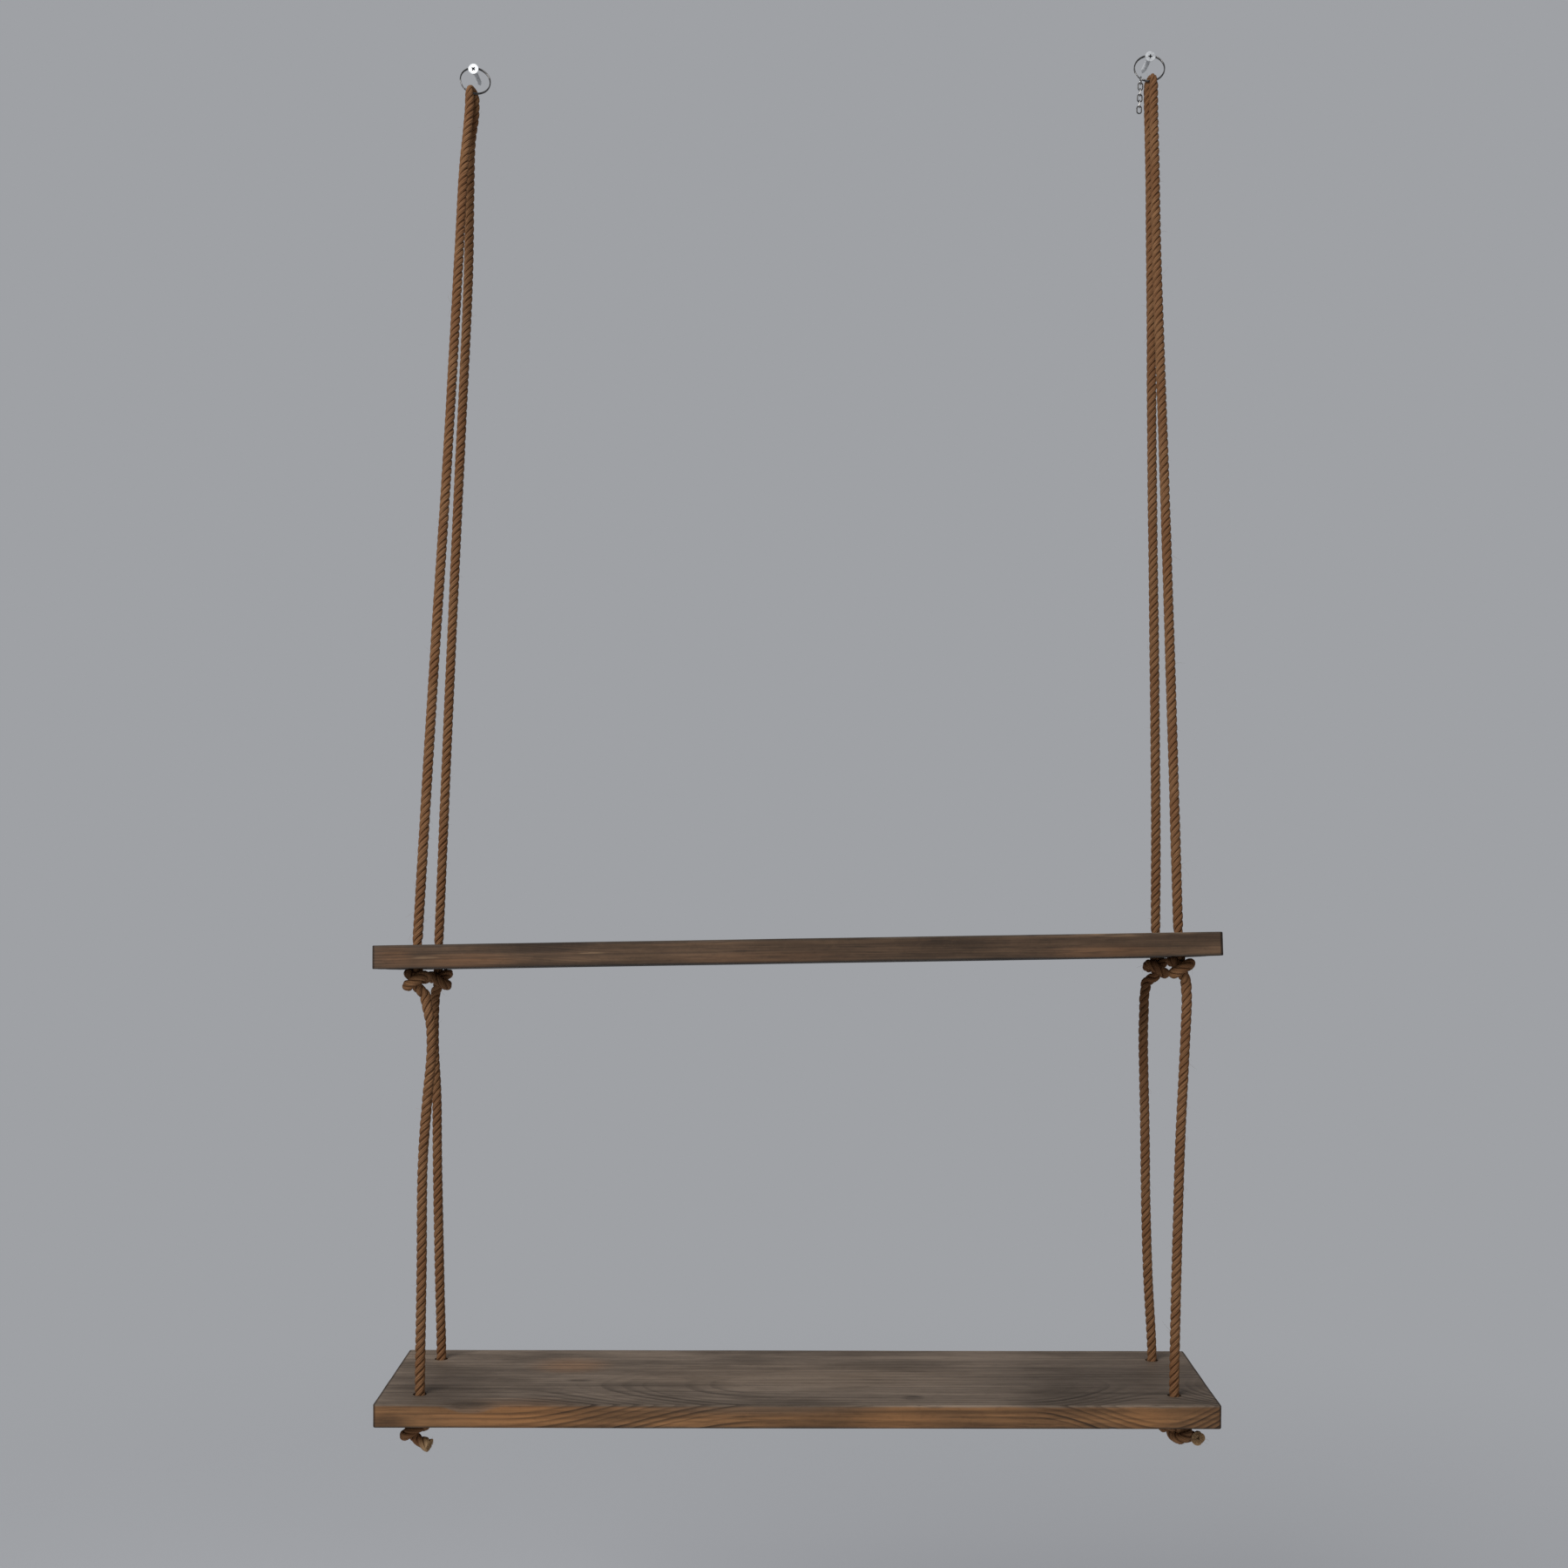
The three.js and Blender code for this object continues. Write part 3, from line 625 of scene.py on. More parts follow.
def hairs_on(name, rings, low, high, per_metre, draw):
    """The hairs of one stretch: many short ones, some long ones, and a brush at a cut tail."""
    corners, faces, pale = [], [], []

    def add(made, paleness=0.0):
        base = len(corners)
        corners.extend(made[0])
        pale.extend([paleness] * len(made[0]))
        faces.extend(tuple(base + k for k in face) for face in made[1])

    span = rings["place"][high - 1] - rings["place"][low]
    bare = BARE_STEPS if name.endswith("rope") else 0
    for _ in range(int(per_metre * span)):
        i = int(draw.integers(low + bare, high - bare))
        angle = draw.uniform(0, 2 * math.pi)
        out = math.cos(angle) * rings["first"][i] + math.sin(angle) * rings["second"][i]
        side_way = np.cross(rings["ways"][i], out)
        start = rings["centres"][i] + out * rings["radius"][i] * HAIR_ROOT
        up_or_down = draw.choice((-1, 1))
        way = up_or_down * (rings["ways"][i] + 0.8 * side_way) + out * draw.uniform(0.25, 1.3)
        length = min(draw.lognormal(math.log(USUAL_HAIR), HAIR_SPREAD), LONGEST_HAIR) * MM
        curl = draw.normal(0, 0.7, 3) - 0.35 * out
        add(hair(start, way, curl, length, draw.uniform(0.07, 0.15) * MM))
    for end in (low, high - 1):
        if rings["opening"][end] > 0.9:
            outwards = rings["ways"][end] * (1 if end > low else -1)
            for _ in range(BRISTLES):
                angle, reach = draw.uniform(0, 2 * math.pi), draw.uniform(0, 1) ** 0.5
                out = math.cos(angle) * rings["first"][end] + math.sin(angle) * rings["second"][end]
                start = rings["centres"][end] + out * rings["radius"][end] * reach - outwards * 0.3 * MM
                way = outwards + out * reach * draw.uniform(0, 0.3) + draw.normal(0, 0.1, 3)
                curl, length = draw.normal(0, 0.3, 3), draw.uniform(0.5, 1.3) * MM
                add(hair(start, way, curl, length, BRISTLE_WIDTH, 3), 1.0)
    made = mesh_object("fibres_" + name, np.array(corners), faces)
    made.data.polygons.foreach_set("use_smooth", [True] * len(faces))
    set_values(made.data, "cut_end", "FLOAT", "POINT", pale)
    return made


hair_pieces = {}
for number, (name, (side, rings, low, high)) in enumerate(rope_lines.items()):
    draw = np.random.default_rng(1000 + number)
    hair_pieces[name] = hairs_on(name, rings, low, high, HAIRS_PER_METRE, draw)
print("faces of all hairs:", sum(len(o.data.polygons) for o in hair_pieces.values()))

# %% [markdown]
# ## Painting with nodes
# Every finish below is worked out from a place on the piece, never from a picture. These short helpers
# add one node each: a value or another node's answer goes in, and the answer comes out.


# %% Node helpers
def feed(tree, socket, value):
    if isinstance(value, bpy.types.NodeSocket):
        tree.links.new(value, socket)
    elif value is not None:
        socket.default_value = value


def new_material(name):
    material = bpy.data.materials.new(name)
    material.use_nodes = True
    tree = material.node_tree
    tree.nodes.clear()
    output = tree.nodes.new("ShaderNodeOutputMaterial")
    shader = tree.nodes.new("ShaderNodeBsdfPrincipled")
    tree.links.new(shader.outputs[0], output.inputs["Surface"])
    return material, tree, shader


def read(tree, name, output="Vector"):
    node = tree.nodes.new("ShaderNodeAttribute")
    node.attribute_name = name
    return node.outputs[output]


def object_place(tree):
    return tree.nodes.new("ShaderNodeTexCoord").outputs["Object"]


def maths(tree, operation, a, b=None, c=None, clamp=False):
    node = tree.nodes.new("ShaderNodeMath")
    node.operation = operation
    node.use_clamp = clamp
    for socket, value in zip(node.inputs, (a, b, c)):
        feed(tree, socket, value)
    return node.outputs[0]


def split(tree, vector):
    node = tree.nodes.new("ShaderNodeSeparateXYZ")
    feed(tree, node.inputs[0], vector)
    return node.outputs


def join(tree, x, y, z):
    node = tree.nodes.new("ShaderNodeCombineXYZ")
    for socket, value in zip(node.inputs, (x, y, z)):
        feed(tree, socket, value)
    return node.outputs[0]


def stretch(tree, vector, factors, offset=(0, 0, 0)):
    node = tree.nodes.new("ShaderNodeVectorMath")
    node.operation = "MULTIPLY_ADD"
    feed(tree, node.inputs[0], vector)
    node.inputs[1].default_value = factors
    node.inputs[2].default_value = offset
    return node.outputs[0]


def noise(tree, vector, scale=1, detail=3, roughness=0.5):
    node = tree.nodes.new("ShaderNodeTexNoise")
    feed(tree, node.inputs["Vector"], vector)
    node.inputs["Scale"].default_value = scale
    node.inputs["Detail"].default_value = detail
    node.inputs["Roughness"].default_value = roughness
    return node.outputs["Fac"]


def rescale(tree, value, from_low, from_high, to_low=0, to_high=1):
    node = tree.nodes.new("ShaderNodeMapRange")
    node.interpolation_type = "SMOOTHSTEP"
    for socket, given in zip(node.inputs, (value, from_low, from_high, to_low, to_high)):
        feed(tree, socket, given)
    return node.outputs[0]


def blend_colours(tree, share, a, b, kind="MIX"):
    node = tree.nodes.new("ShaderNodeMix")
    node.data_type = "RGBA"
    node.blend_type = kind
    feed(tree, node.inputs[0], share)
    feed(tree, node.inputs[6], a)
    feed(tree, node.inputs[7], b)
    return node.outputs[2]


def bump(tree, shader, height, distance, strength=1.0):
    node = tree.nodes.new("ShaderNodeBump")
    node.inputs["Strength"].default_value = strength
    node.inputs["Distance"].default_value = distance
    feed(tree, node.inputs["Height"], height)
    tree.links.new(node.outputs[0], shader.inputs["Normal"])


def colour(red, green, blue):
    """A colour given as screen values from 0 to 255, as the shader wants it."""
    parts = [c / 255 for c in (red, green, blue)]
    return tuple(c / 12.92 if c <= 0.04045 else ((c + 0.055) / 1.055) ** 2.4 for c in parts) + (1,)


# %% [markdown]
# ## Jute
# Jute is a dull warm brown with darker fibres in it. Its yarns run nearly along the rope, so each
# strand's back is ribbed. The grooves between strands are painted darker, as painted shade. Where the
# rope was cut the fresh fibre is pale.


# %% Jute material
JUTE_DARK, JUTE_LIGHT = colour(110, 75, 48), colour(172, 128, 90)
# The second colour here is the painted shade of the grooves.
JUTE_PATCH, JUTE_GROOVE_SHADE, JUTE_CUT = colour(126, 84, 54), colour(76, 50, 30), colour(196, 164, 124)
FIBRE_DARK, FIBRE_LIGHT = colour(120, 84, 48), colour(196, 156, 104)
YARNS, YARN_SLANT = 7, 900.0


def jute_material(name, ribbed):
    material, tree, shader = new_material(name)
    pale = maths(tree, "MULTIPLY", read(tree, "cut_end", "Fac"), 0.8)
    if ribbed:
        turn, along, _ = split(tree, read(tree, "lay"))
        angle = maths(tree, "MULTIPLY", turn, 2 * math.pi)
        over, aside = maths(tree, "COSINE", angle), maths(tree, "SINE", angle)
        ring = join(tree, over, aside, maths(tree, "MULTIPLY", along, 70))
        winding = maths(tree, "MULTIPLY", angle, YARNS)
        ribs = maths(tree, "SINE", maths(tree, "MULTIPLY_ADD", along, YARN_SLANT, winding))
        fibres = noise(tree, stretch(tree, ring, (3.2, 3.2, 1.0)), 1.6, 5, 0.62)
        patches = noise(tree, object_place(tree), 34, 3, 0.55)
        base = blend_colours(tree, rescale(tree, fibres, 0.3, 0.72), JUTE_DARK, JUTE_LIGHT)
        base = blend_colours(tree, rescale(tree, patches, 0.4, 0.62, 0, 0.5), base, JUTE_PATCH)
        # Painted shade: the deeper a point lies between the strands, the darker its colour.
        groove_shade = maths(tree, "MULTIPLY", read(tree, "groove_shade", "Fac"), 0.85)
        base = blend_colours(tree, groove_shade, base, JUTE_GROOVE_SHADE)
        height = maths(tree, "ADD", maths(tree, "MULTIPLY", ribs, 0.35), fibres)
        bump(tree, shader, height, 0.35 * MM, 0.9)
    else:
        patches = noise(tree, object_place(tree), 160, 2, 0.5)
        base = blend_colours(tree, rescale(tree, patches, 0.35, 0.65), FIBRE_DARK, FIBRE_LIGHT)
    base = blend_colours(tree, pale, base, JUTE_CUT)
    feed(tree, shader.inputs["Base Color"], base)
    shader.inputs["Roughness"].default_value = 0.9
    shader.inputs["Specular IOR Level"].default_value = 0.2
    return material


jute_strands = jute_material("jute_strands", True)
jute_fibres = jute_material("jute_fibres", False)
for name, piece in rope_pieces.items():
    piece.data.materials.append(jute_strands)
    hair_pieces[name].data.materials.append(jute_fibres)

# %% [markdown]
# ## The ropes' bodies
# Each upper rope goes on its side's upper rope body, and each knot on one body with the other knots
# at its board. The lower legs stay in the room, their place baked into the mesh. Each stretch's hairs
# go with it, and the imported piece of the same name is hidden. The knots end in holes or in tails.

# %% Ropes on their bodies
for name, piece in rope_pieces.items():
    side, rings, low, high = rope_lines[name]
    hairs = hair_pieces[name]
    kind = name.split("_", 2)[-1] if name.split("_")[1] in ("front", "rear") else "upper_rope"
    if kind == "lower_rope":
        for part in (piece, hairs):
            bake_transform(part)
    else:
        body = side + "_upper_rope" if kind == "upper_rope" else kind + "s"
        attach(piece, body)
        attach(hairs, body)
    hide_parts(name)

# %% [markdown]
# ## Sawing and rounding the boards
# Both boards are planks of the same softwood, sawn, drilled, brushed and stained. Each starts as one
# block, cut into narrow strips along and across, because only a finely cut face can wave a little as old
# wood does. Then the four standing corners are rounded, each as much as that corner has worn, and last
# all the edges that are still sharp.


# %% Board block
TOUCHING, SHORTEST_EDGE = 0.01 * MM, 5 * MM
CUTS_ALONG_X_Y_Z = (149, 37, 4)


def only_select(thing):
    bpy.ops.object.select_all(action="DESELECT")
    thing.select_set(True)
    bpy.context.view_layer.objects.active = thing


def select_edges(thing, wanted):
    """Selects the edges in edit mode whose two ends pass a test."""
    work = bmesh.from_edit_mesh(thing.data)
    bpy.ops.mesh.select_all(action="DESELECT")
    for edge in work.edges:
        edge.select_set(wanted(edge.verts[0].co, edge.verts[1].co))
    bmesh.update_edit_mesh(thing.data)


def runs_along(axis):
    across = [k for k in range(3) if k != axis]
    return lambda a, b: (
        all(abs(a[k] - b[k]) < TOUCHING for k in across) and abs(a[axis] - b[axis]) > SHORTEST_EDGE)


def at_corner(side, row):
    x, y = side * BOARD_LENGTH / 2, row * BOARD_DEPTH / 2
    return lambda a, b: all(abs(p.x - x) < TOUCHING and abs(p.y - y) < TOUCHING for p in (a, b))


def board_block(name, corner_wear, edge_wear):
    """A block with worn corners, given as left front, right front, left rear and right rear."""
    bpy.ops.object.select_all(action="DESELECT")
    bpy.ops.mesh.primitive_cube_add(size=1)
    board = bpy.context.object
    board.name = name
    board.scale = (BOARD_LENGTH, BOARD_DEPTH, BOARD_THICKNESS)
    bpy.ops.object.transform_apply(location=False, rotation=False, scale=True)
    bpy.ops.object.mode_set(mode="EDIT")
    for axis, cuts in enumerate(CUTS_ALONG_X_Y_Z):
        select_edges(board, runs_along(axis))
        bpy.ops.mesh.subdivide(number_cuts=cuts)
    for (side, row), (width, segments) in zip(((-1, -1), (1, -1), (-1, 1), (1, 1)), corner_wear):
        select_edges(board, at_corner(side, row))
        bpy.ops.mesh.bevel(offset=width, segments=segments, affect="EDGES")
    bpy.ops.mesh.select_all(action="DESELECT")
    bpy.ops.mesh.edges_select_sharp(sharpness=math.radians(60))
    bpy.ops.mesh.bevel(offset=edge_wear, segments=3, affect="EDGES")
    bpy.ops.object.mode_set(mode="OBJECT")
    return board


# %% [markdown]
# ## Waves, holes and chips
# A displace modifier with a cloud texture, stretched four times along the grain, moves each face in by up
# to 0.4 mm. The holes and the chips are cut by other shapes with a boolean modifier, because a cut keeps
# a crisp rim, as a drill and a blow do. A chip is a squashed ball that bites into an edge.


# %% Waves, holes and chips
def wave_faces(board, seed, depth, size):
    texture = bpy.data.textures.new(board.name + "_waves", "CLOUDS")
    texture.noise_scale = size
    texture.noise_depth = 2
    shift = bpy.data.objects.new(board.name + "_waves_place", None)
    shift.location = (seed * 0.37, seed * 0.11, 0)
    shift.scale = (4, 1, 1)
    bpy.context.scene.collection.objects.link(shift)
    bpy.context.view_layer.update()
    only_select(board)
    modifier = board.modifiers.new("waves", "DISPLACE")
    modifier.texture = texture
    modifier.texture_coords = "OBJECT"
    modifier.texture_coords_object = shift
    modifier.strength = depth
    modifier.mid_level = 1
    bpy.ops.object.modifier_apply(modifier="waves")
    bpy.data.objects.remove(shift)


def join_or_cut(board, tool, operation="DIFFERENCE"):
    only_select(board)
    modifier = board.modifiers.new("cut", "BOOLEAN")
    modifier.operation = operation
    modifier.object = tool
    modifier.solver = "EXACT"
    bpy.ops.object.modifier_apply(modifier="cut")
    bpy.data.objects.remove(tool)


def drill(board, x, y):
    bpy.ops.object.select_all(action="DESELECT")
    bpy.ops.mesh.primitive_cylinder_add(
        vertices=48, radius=HOLE_WIDTH / 2, depth=3 * BOARD_THICKNESS, location=(x, y, 0))
    join_or_cut(board, bpy.context.object)


def chip(board, middle, size, turn):
    """Bites a piece out of an edge: a ball of the given three widths, turned about the board's length."""
    bpy.ops.object.select_all(action="DESELECT")
    bpy.ops.mesh.primitive_ico_sphere_add(subdivisions=3, radius=0.5)
    ball = bpy.context.object
    ball.data.transform(Matrix.Translation(middle) @ turned("X", turn) @ Matrix.Diagonal((*size, 1)))
    join_or_cut(board, ball)


# %% [markdown]
# ## Stained softwood
# The finish is worked out from each point's own place in its board, which is kept in the mesh before the
# board is hung, so the grain follows the wood and not the room. Growth rings are shells round a heart
# that lies outside the board. Where a branch grew the rings swerve, so the same shells make slanting
# strokes on the front edge and long curves on the top, where they fade towards the rear. Over the rings
# lie fine pores, soft stains and small worn or dark places. The broad faces are greyer than the sawn
# edges. Their grey runs a little over the rounded arris, and further down at a dip.


# %% Wood material
def near(tree, place, middle, size, soft=0.5):
    """1 around a point of the board, falling to 0 at the given half widths."""
    gap = stretch(tree, place, tuple(1 / s for s in size), tuple(-m / s for m, s in zip(middle, size)))
    far = tree.nodes.new("ShaderNodeVectorMath")
    far.operation = "LENGTH"
    feed(tree, far.inputs[0], gap)
    return rescale(tree, far.outputs["Value"], 1 - soft, 1, 1, 0)


def times(tree, *values):
    answer = values[0]
    for value in values[1:]:
        answer = maths(tree, "MULTIPLY", answer, value)
    return answer


def growth_rings(tree, place, look):
    """Where a point lies between one ring and the next, and how close it is to a swerve."""
    x, y, z = split(tree, place)
    drift = noise(tree, stretch(tree, place, (2.6, 8, 8), look["shift"]), 1, 2, 0.45)
    up = maths(tree, "SUBTRACT", z, look["heart"][1])
    out = maths(tree, "SUBTRACT", y, look["heart"][0])
    radius = maths(tree, "SQRT", maths(tree, "ADD", times(tree, up, up), times(tree, out, out)))
    radius = maths(tree, "MULTIPLY_ADD", drift, look["drift"], radius)
    swerving = 0.0
    for low, high, reach in look["swerves"]:
        radius = maths(tree, "SUBTRACT", radius, rescale(tree, x, low, high, 0, reach))
        middle, half = (low + high) / 2, (high - low) / 2
        here = near(tree, join(tree, x, 0.0, 0.0), (middle, 0, 0), (1.25 * half, 1, 1), 0.6)
        swerving = maths(tree, "MAXIMUM", swerving, here)
    in_front = rescale(tree, y, 0.0, -70 * MM)
    return maths(tree, "DIVIDE", radius, look["ring"]), times(tree, swerving, in_front)


def wood_material(name, look):
    material, tree, shader = new_material(name)
    place = read(tree, "board_place")
    x, y, z = split(tree, place)
    rings, swerving = growth_rings(tree, place, look)
    rough = noise(tree, stretch(tree, place, (40, 300, 300)), 1, 3, 0.6)
    phase = maths(tree, "FRACT", maths(tree, "MULTIPLY_ADD", rough, look["rough"], rings))
    age = noise(tree, join(tree, times(tree, rings, 0.55), times(tree, x, 5.0), 0.0), 1, 2, 0.5)
    darkening, ending = rescale(tree, phase, 0.25, 0.85), rescale(tree, phase, 1.0, 0.9)
    late = times(tree, darkening, ending, rescale(tree, age, 0.34, 0.66))
    ring_strength = maths(tree, "MULTIPLY_ADD", swerving, look["swerved"] - look["late"], look["late"])
    late = times(tree, late, ring_strength)
    late = times(tree, late, rescale(tree, y, 0, -60 * MM, look["calm"], 1))
    lines = noise(tree, stretch(tree, place, (5, 330, 330)), 1, 3, 0.55)
    pores = noise(tree, stretch(tree, place, (30, 620, 620)), 1, 4, 0.62)
    stains = noise(tree, stretch(tree, place, (9, 26, 80), look["shift"]), 1, 4, 0.6)
    mottling = noise(tree, stretch(tree, place, (190, 300, 330)), 1, 4, 0.7)
    ragged = noise(tree, stretch(tree, place, (28, 90, 10), look["shift"]), 1, 4, 0.62)
    height = maths(tree, "MULTIPLY_ADD", ragged, 2 * look["ragged"], maths(tree, "ABSOLUTE", z))
    upwards = rescale(tree, z, -1 * MM, 1 * MM)
    for middle, size, reach in look["dips"]:
        height = maths(tree, "ADD", height, times(tree, near(tree, place, middle, size, 0.9), upwards, reach))
    border = BOARD_THICKNESS / 2 + look["ragged"] - look["arris"]
    broad = rescale(tree, height, border - 1.1 * MM, border + 0.9 * MM)
    patchy = rescale(tree, stains, 0.34, 0.66)
    edge = blend_colours(tree, patchy, look["edge"][0], look["edge"][1])
    face = blend_colours(tree, patchy, look["face"][0], look["face"][1])
    # Painted shade: the underside gets a darker colour than the top.
    shaded_underside = blend_colours(tree, patchy, look["shaded_underside"][0], look["shaded_underside"][1])
    base = blend_colours(tree, broad, edge, blend_colours(tree, upwards, shaded_underside, face))
    for middle, size, strength, paint in look["stains"]:
        spot = times(tree, near(tree, place, middle, size, 0.85), strength)
        base = blend_colours(tree, spot, base, look[paint])
    base = blend_colours(tree, rescale(tree, lines, 0.35, 0.68, 0, look["lines"]), base, look["dark"])
    base = blend_colours(tree, late, base, look["dark"])
    base = blend_colours(tree, rescale(tree, mottling, 0.5, 0.7, 0, look["mottling"]), base, look["dark"])
    pale_specks = rescale(tree, mottling, 0.46, 0.3, 0, 0.3 * look["mottling"])
    base = blend_colours(tree, pale_specks, base, look["worn"])
    base = blend_colours(tree, rescale(tree, pores, 0.5, 0.72, 0, look["pores"]), base, look["dark"])
    for middle, size, strength, paint in look["spots"]:
        spot = times(tree, near(tree, place, middle, size, 0.6), rescale(tree, pores, 0.6, 0.4), strength)
        base = blend_colours(tree, spot, base, look[paint])
    end_from, end_to = BOARD_LENGTH / 2 - 2.4 * MM, BOARD_LENGTH / 2 - 1.2 * MM
    end_grain = rescale(tree, maths(tree, "ABSOLUTE", x), end_from, end_to, 0, 0.75)
    base = blend_colours(tree, end_grain, base, look["dark"])
    feed(tree, shader.inputs["Base Color"], base)
    feed(tree, shader.inputs["Roughness"], rescale(tree, stains, 0.3, 0.7, 0.62, 0.78))
    shader.inputs["Specular IOR Level"].default_value = 0.3
    relief = maths(tree, "SUBTRACT", maths(tree, "ADD", late, maths(tree, "MULTIPLY", lines, -0.6)), pores)
    bump(tree, shader, relief, 0.22 * MM, 0.6)
    return material


FRONT_EDGE, TOP_FACE = -BOARD_DEPTH / 2, BOARD_THICKNESS / 2
UPPER_LOOK = dict(
    heart=(-20 * MM, -60 * MM), drift=7 * MM, ring=1.3 * MM, shift=(0.3, 0.7, 0.2),
    arris=1.2 * MM, ragged=0.5 * MM, rough=0.5,
    swerves=[(-0.24, -0.12, -5 * MM)], swerved=0.35, late=0.3, calm=1,
    lines=0.5, mottling=0.2, pores=0.5, dips=[],
    edge=(colour(119, 92, 69), colour(90, 70, 53)),
    face=(colour(108, 93, 80), colour(84, 73, 62)),
    # The underside's colours are darker than the top's: painted shade.
    shaded_underside=(colour(76, 66, 57), colour(58, 50, 44)),
    dark=colour(46, 36, 29), worn=colour(150, 122, 94), warm=colour(150, 104, 68),
    stains=[
        ((-0.235, FRONT_EDGE, -0.004), (0.055, 0.03, 0.008), 0.4, "warm"),
        ((-0.285, FRONT_EDGE, 0.0), (0.02, 0.03, 0.012), 0.4, "warm"),
        ((-0.185, FRONT_EDGE, 0.005), (0.05, 0.03, 0.007), 0.5, "dark"),
        ((0.115, FRONT_EDGE, 0.003), (0.04, 0.03, 0.009), 0.35, "dark"),
        ((0.215, FRONT_EDGE, -0.005), (0.06, 0.03, 0.007), 0.35, "warm"),
        ((-0.02, FRONT_EDGE, -0.005), (0.09, 0.03, 0.006), 0.25, "warm"),
    ],
    spots=[
        ((0.235, FRONT_EDGE, 0.0078), (0.055, 0.02, 0.0022), 0.75, "worn"),
        ((-0.145, FRONT_EDGE, 0.0005), (0.012, 0.02, 0.0008), 0.8, "worn"),
        ((-0.165, FRONT_EDGE, 0.0068), (0.028, 0.02, 0.0034), 0.6, "dark"),
        ((0.1, FRONT_EDGE, 0.0062), (0.012, 0.02, 0.0034), 0.7, "dark"),
        ((-0.02, FRONT_EDGE, TOP_FACE), (0.008, 0.02, 0.0016), 0.8, "dark"),
        ((0.165, FRONT_EDGE, TOP_FACE), (0.006, 0.02, 0.0016), 0.8, "dark"),
        ((-0.262, FRONT_EDGE, -0.001), (0.012, 0.02, 0.0015), 0.55, "worn"),
    ],
)
LOWER_LOOK = dict(
    heart=(-22 * MM, -72 * MM), drift=9 * MM, ring=3.1 * MM, shift=(0.1, 0.4, 0.9),
    arris=1.3 * MM, ragged=1.1 * MM, rough=0.22,
    swerves=[(-0.215, -0.02, 27 * MM), (0.165, 0.262, -18.5 * MM), (0.262, 0.33, 20.5 * MM)],
    swerved=0.85, late=0.3, calm=0.3,
    lines=0.4, mottling=0.14, pores=0.4, dips=[((-0.2315, FRONT_EDGE, 0), (0.024, 0.03, 1), 5 * MM)],
    edge=(colour(167, 121, 79), colour(126, 92, 62)),
    face=(colour(156, 137, 119), colour(120, 105, 91)),
    # The underside's colours are darker than the top's: painted shade.
    shaded_underside=(colour(92, 76, 61), colour(70, 58, 48)),
    dark=colour(44, 33, 25), worn=colour(150, 126, 102), warm=colour(188, 132, 82),
    grey=colour(104, 91, 79), dip=colour(84, 72, 61),
    stains=[
        ((-0.2, FRONT_EDGE, 0.0), (0.075, 0.03, 0.014), 0.6, "warm"),
        ((-0.2315, FRONT_EDGE, 0.0092), (0.026, 0.012, 0.0076), 0.85, "dip"),
        ((-0.29, FRONT_EDGE, -0.005), (0.025, 0.03, 0.01), 0.6, "dark"),
        ((-0.03, FRONT_EDGE, 0.006), (0.12, 0.02, 0.007), 0.55, "grey"),
        ((0.07, FRONT_EDGE, -0.003), (0.05, 0.02, 0.01), 0.4, "warm"),
        ((0.245, FRONT_EDGE, -0.002), (0.03, 0.02, 0.01), 0.45, "warm"),
        ((-0.17, 0.03, TOP_FACE), (0.04, 0.03, 0.01), 0.4, "warm"),
        ((0.0, 0.0, TOP_FACE), (0.2, 0.05, 0.01), 0.3, "worn"),
        ((0.23, -0.01, TOP_FACE), (0.14, 0.09, 0.01), 0.5, "dark"),
        ((-0.26, -0.03, TOP_FACE), (0.06, 0.08, 0.01), 0.4, "dark"),
    ],
    spots=[
        ((-0.159, -0.012, TOP_FACE), (0.012, 0.005, 0.004), 0.8, "dark"),
        ((-0.215, -0.052, TOP_FACE), (0.008, 0.0012, 0.003), 0.9, "dark"),
        ((0.083, -0.056, TOP_FACE), (0.011, 0.008, 0.004), 0.7, "dark"),
    ],
)
upper_wood = wood_material("upper_board_wood", UPPER_LOOK)
lower_wood = wood_material("lower_board_wood", LOWER_LOOK)
print("wood nodes", len(lower_wood.node_tree.nodes))


# %% [markdown]
# ## Hanging the boards
# The upper board's right front corner was sawn off at a slant, so it shows a thin dark strip of end
# grain. The lower board's front has lost a piece of its top edge near the left rope and a small one of
# its bottom edge near the right rope. A third small piece is gone from its rear edge.


# %% Two boards
def shade_by_angle(thing, degrees):
    only_select(thing)
    bpy.ops.object.shade_smooth_by_angle(angle=math.radians(degrees))


def finish_board(board, place, node, body, material):
    """Keeps each corner's place in the board, then puts the board where it hangs."""
    own_places = np.array([corner.co for corner in board.data.vertices])
    set_values(board.data, "board_place", "FLOAT_VECTOR", "POINT", own_places)
    board.data.transform(place)
    board.data.materials.clear()
    board.data.materials.append(material)
    shade_by_angle(board, 35)
    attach(board, body)
    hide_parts(node)
    print(board.name, len(board.data.polygons), "faces")


LOWER_CHIPS = [
    ((-231.5 * MM, FRONT_EDGE - 1.6 * MM, TOP_FACE + 1 * MM), (34 * MM, 6.4 * MM, 8.4 * MM), 25),
    ((223 * MM, FRONT_EDGE - 0.4 * MM, -TOP_FACE), (9 * MM, 4 * MM, 3.4 * MM), 0),
    ((-125 * MM, -FRONT_EDGE + 0.5 * MM, TOP_FACE), (7 * MM, 3.4 * MM, 3.6 * MM), 0),
]
WAVE_SIZE = 30 * MM
worn, sawn = (1.4 * MM, 3), (2.3 * MM, 1)
upper_block = board_block("stained_upper_board", [worn, sawn, worn, worn], 0.8 * MM)
lower_block = board_block("stained_lower_board", [(2 * MM, 3), (2.2 * MM, 2), (2 * MM, 3), worn], 1.1 * MM)
wave_faces(upper_block, 1, 0.35 * MM, WAVE_SIZE)
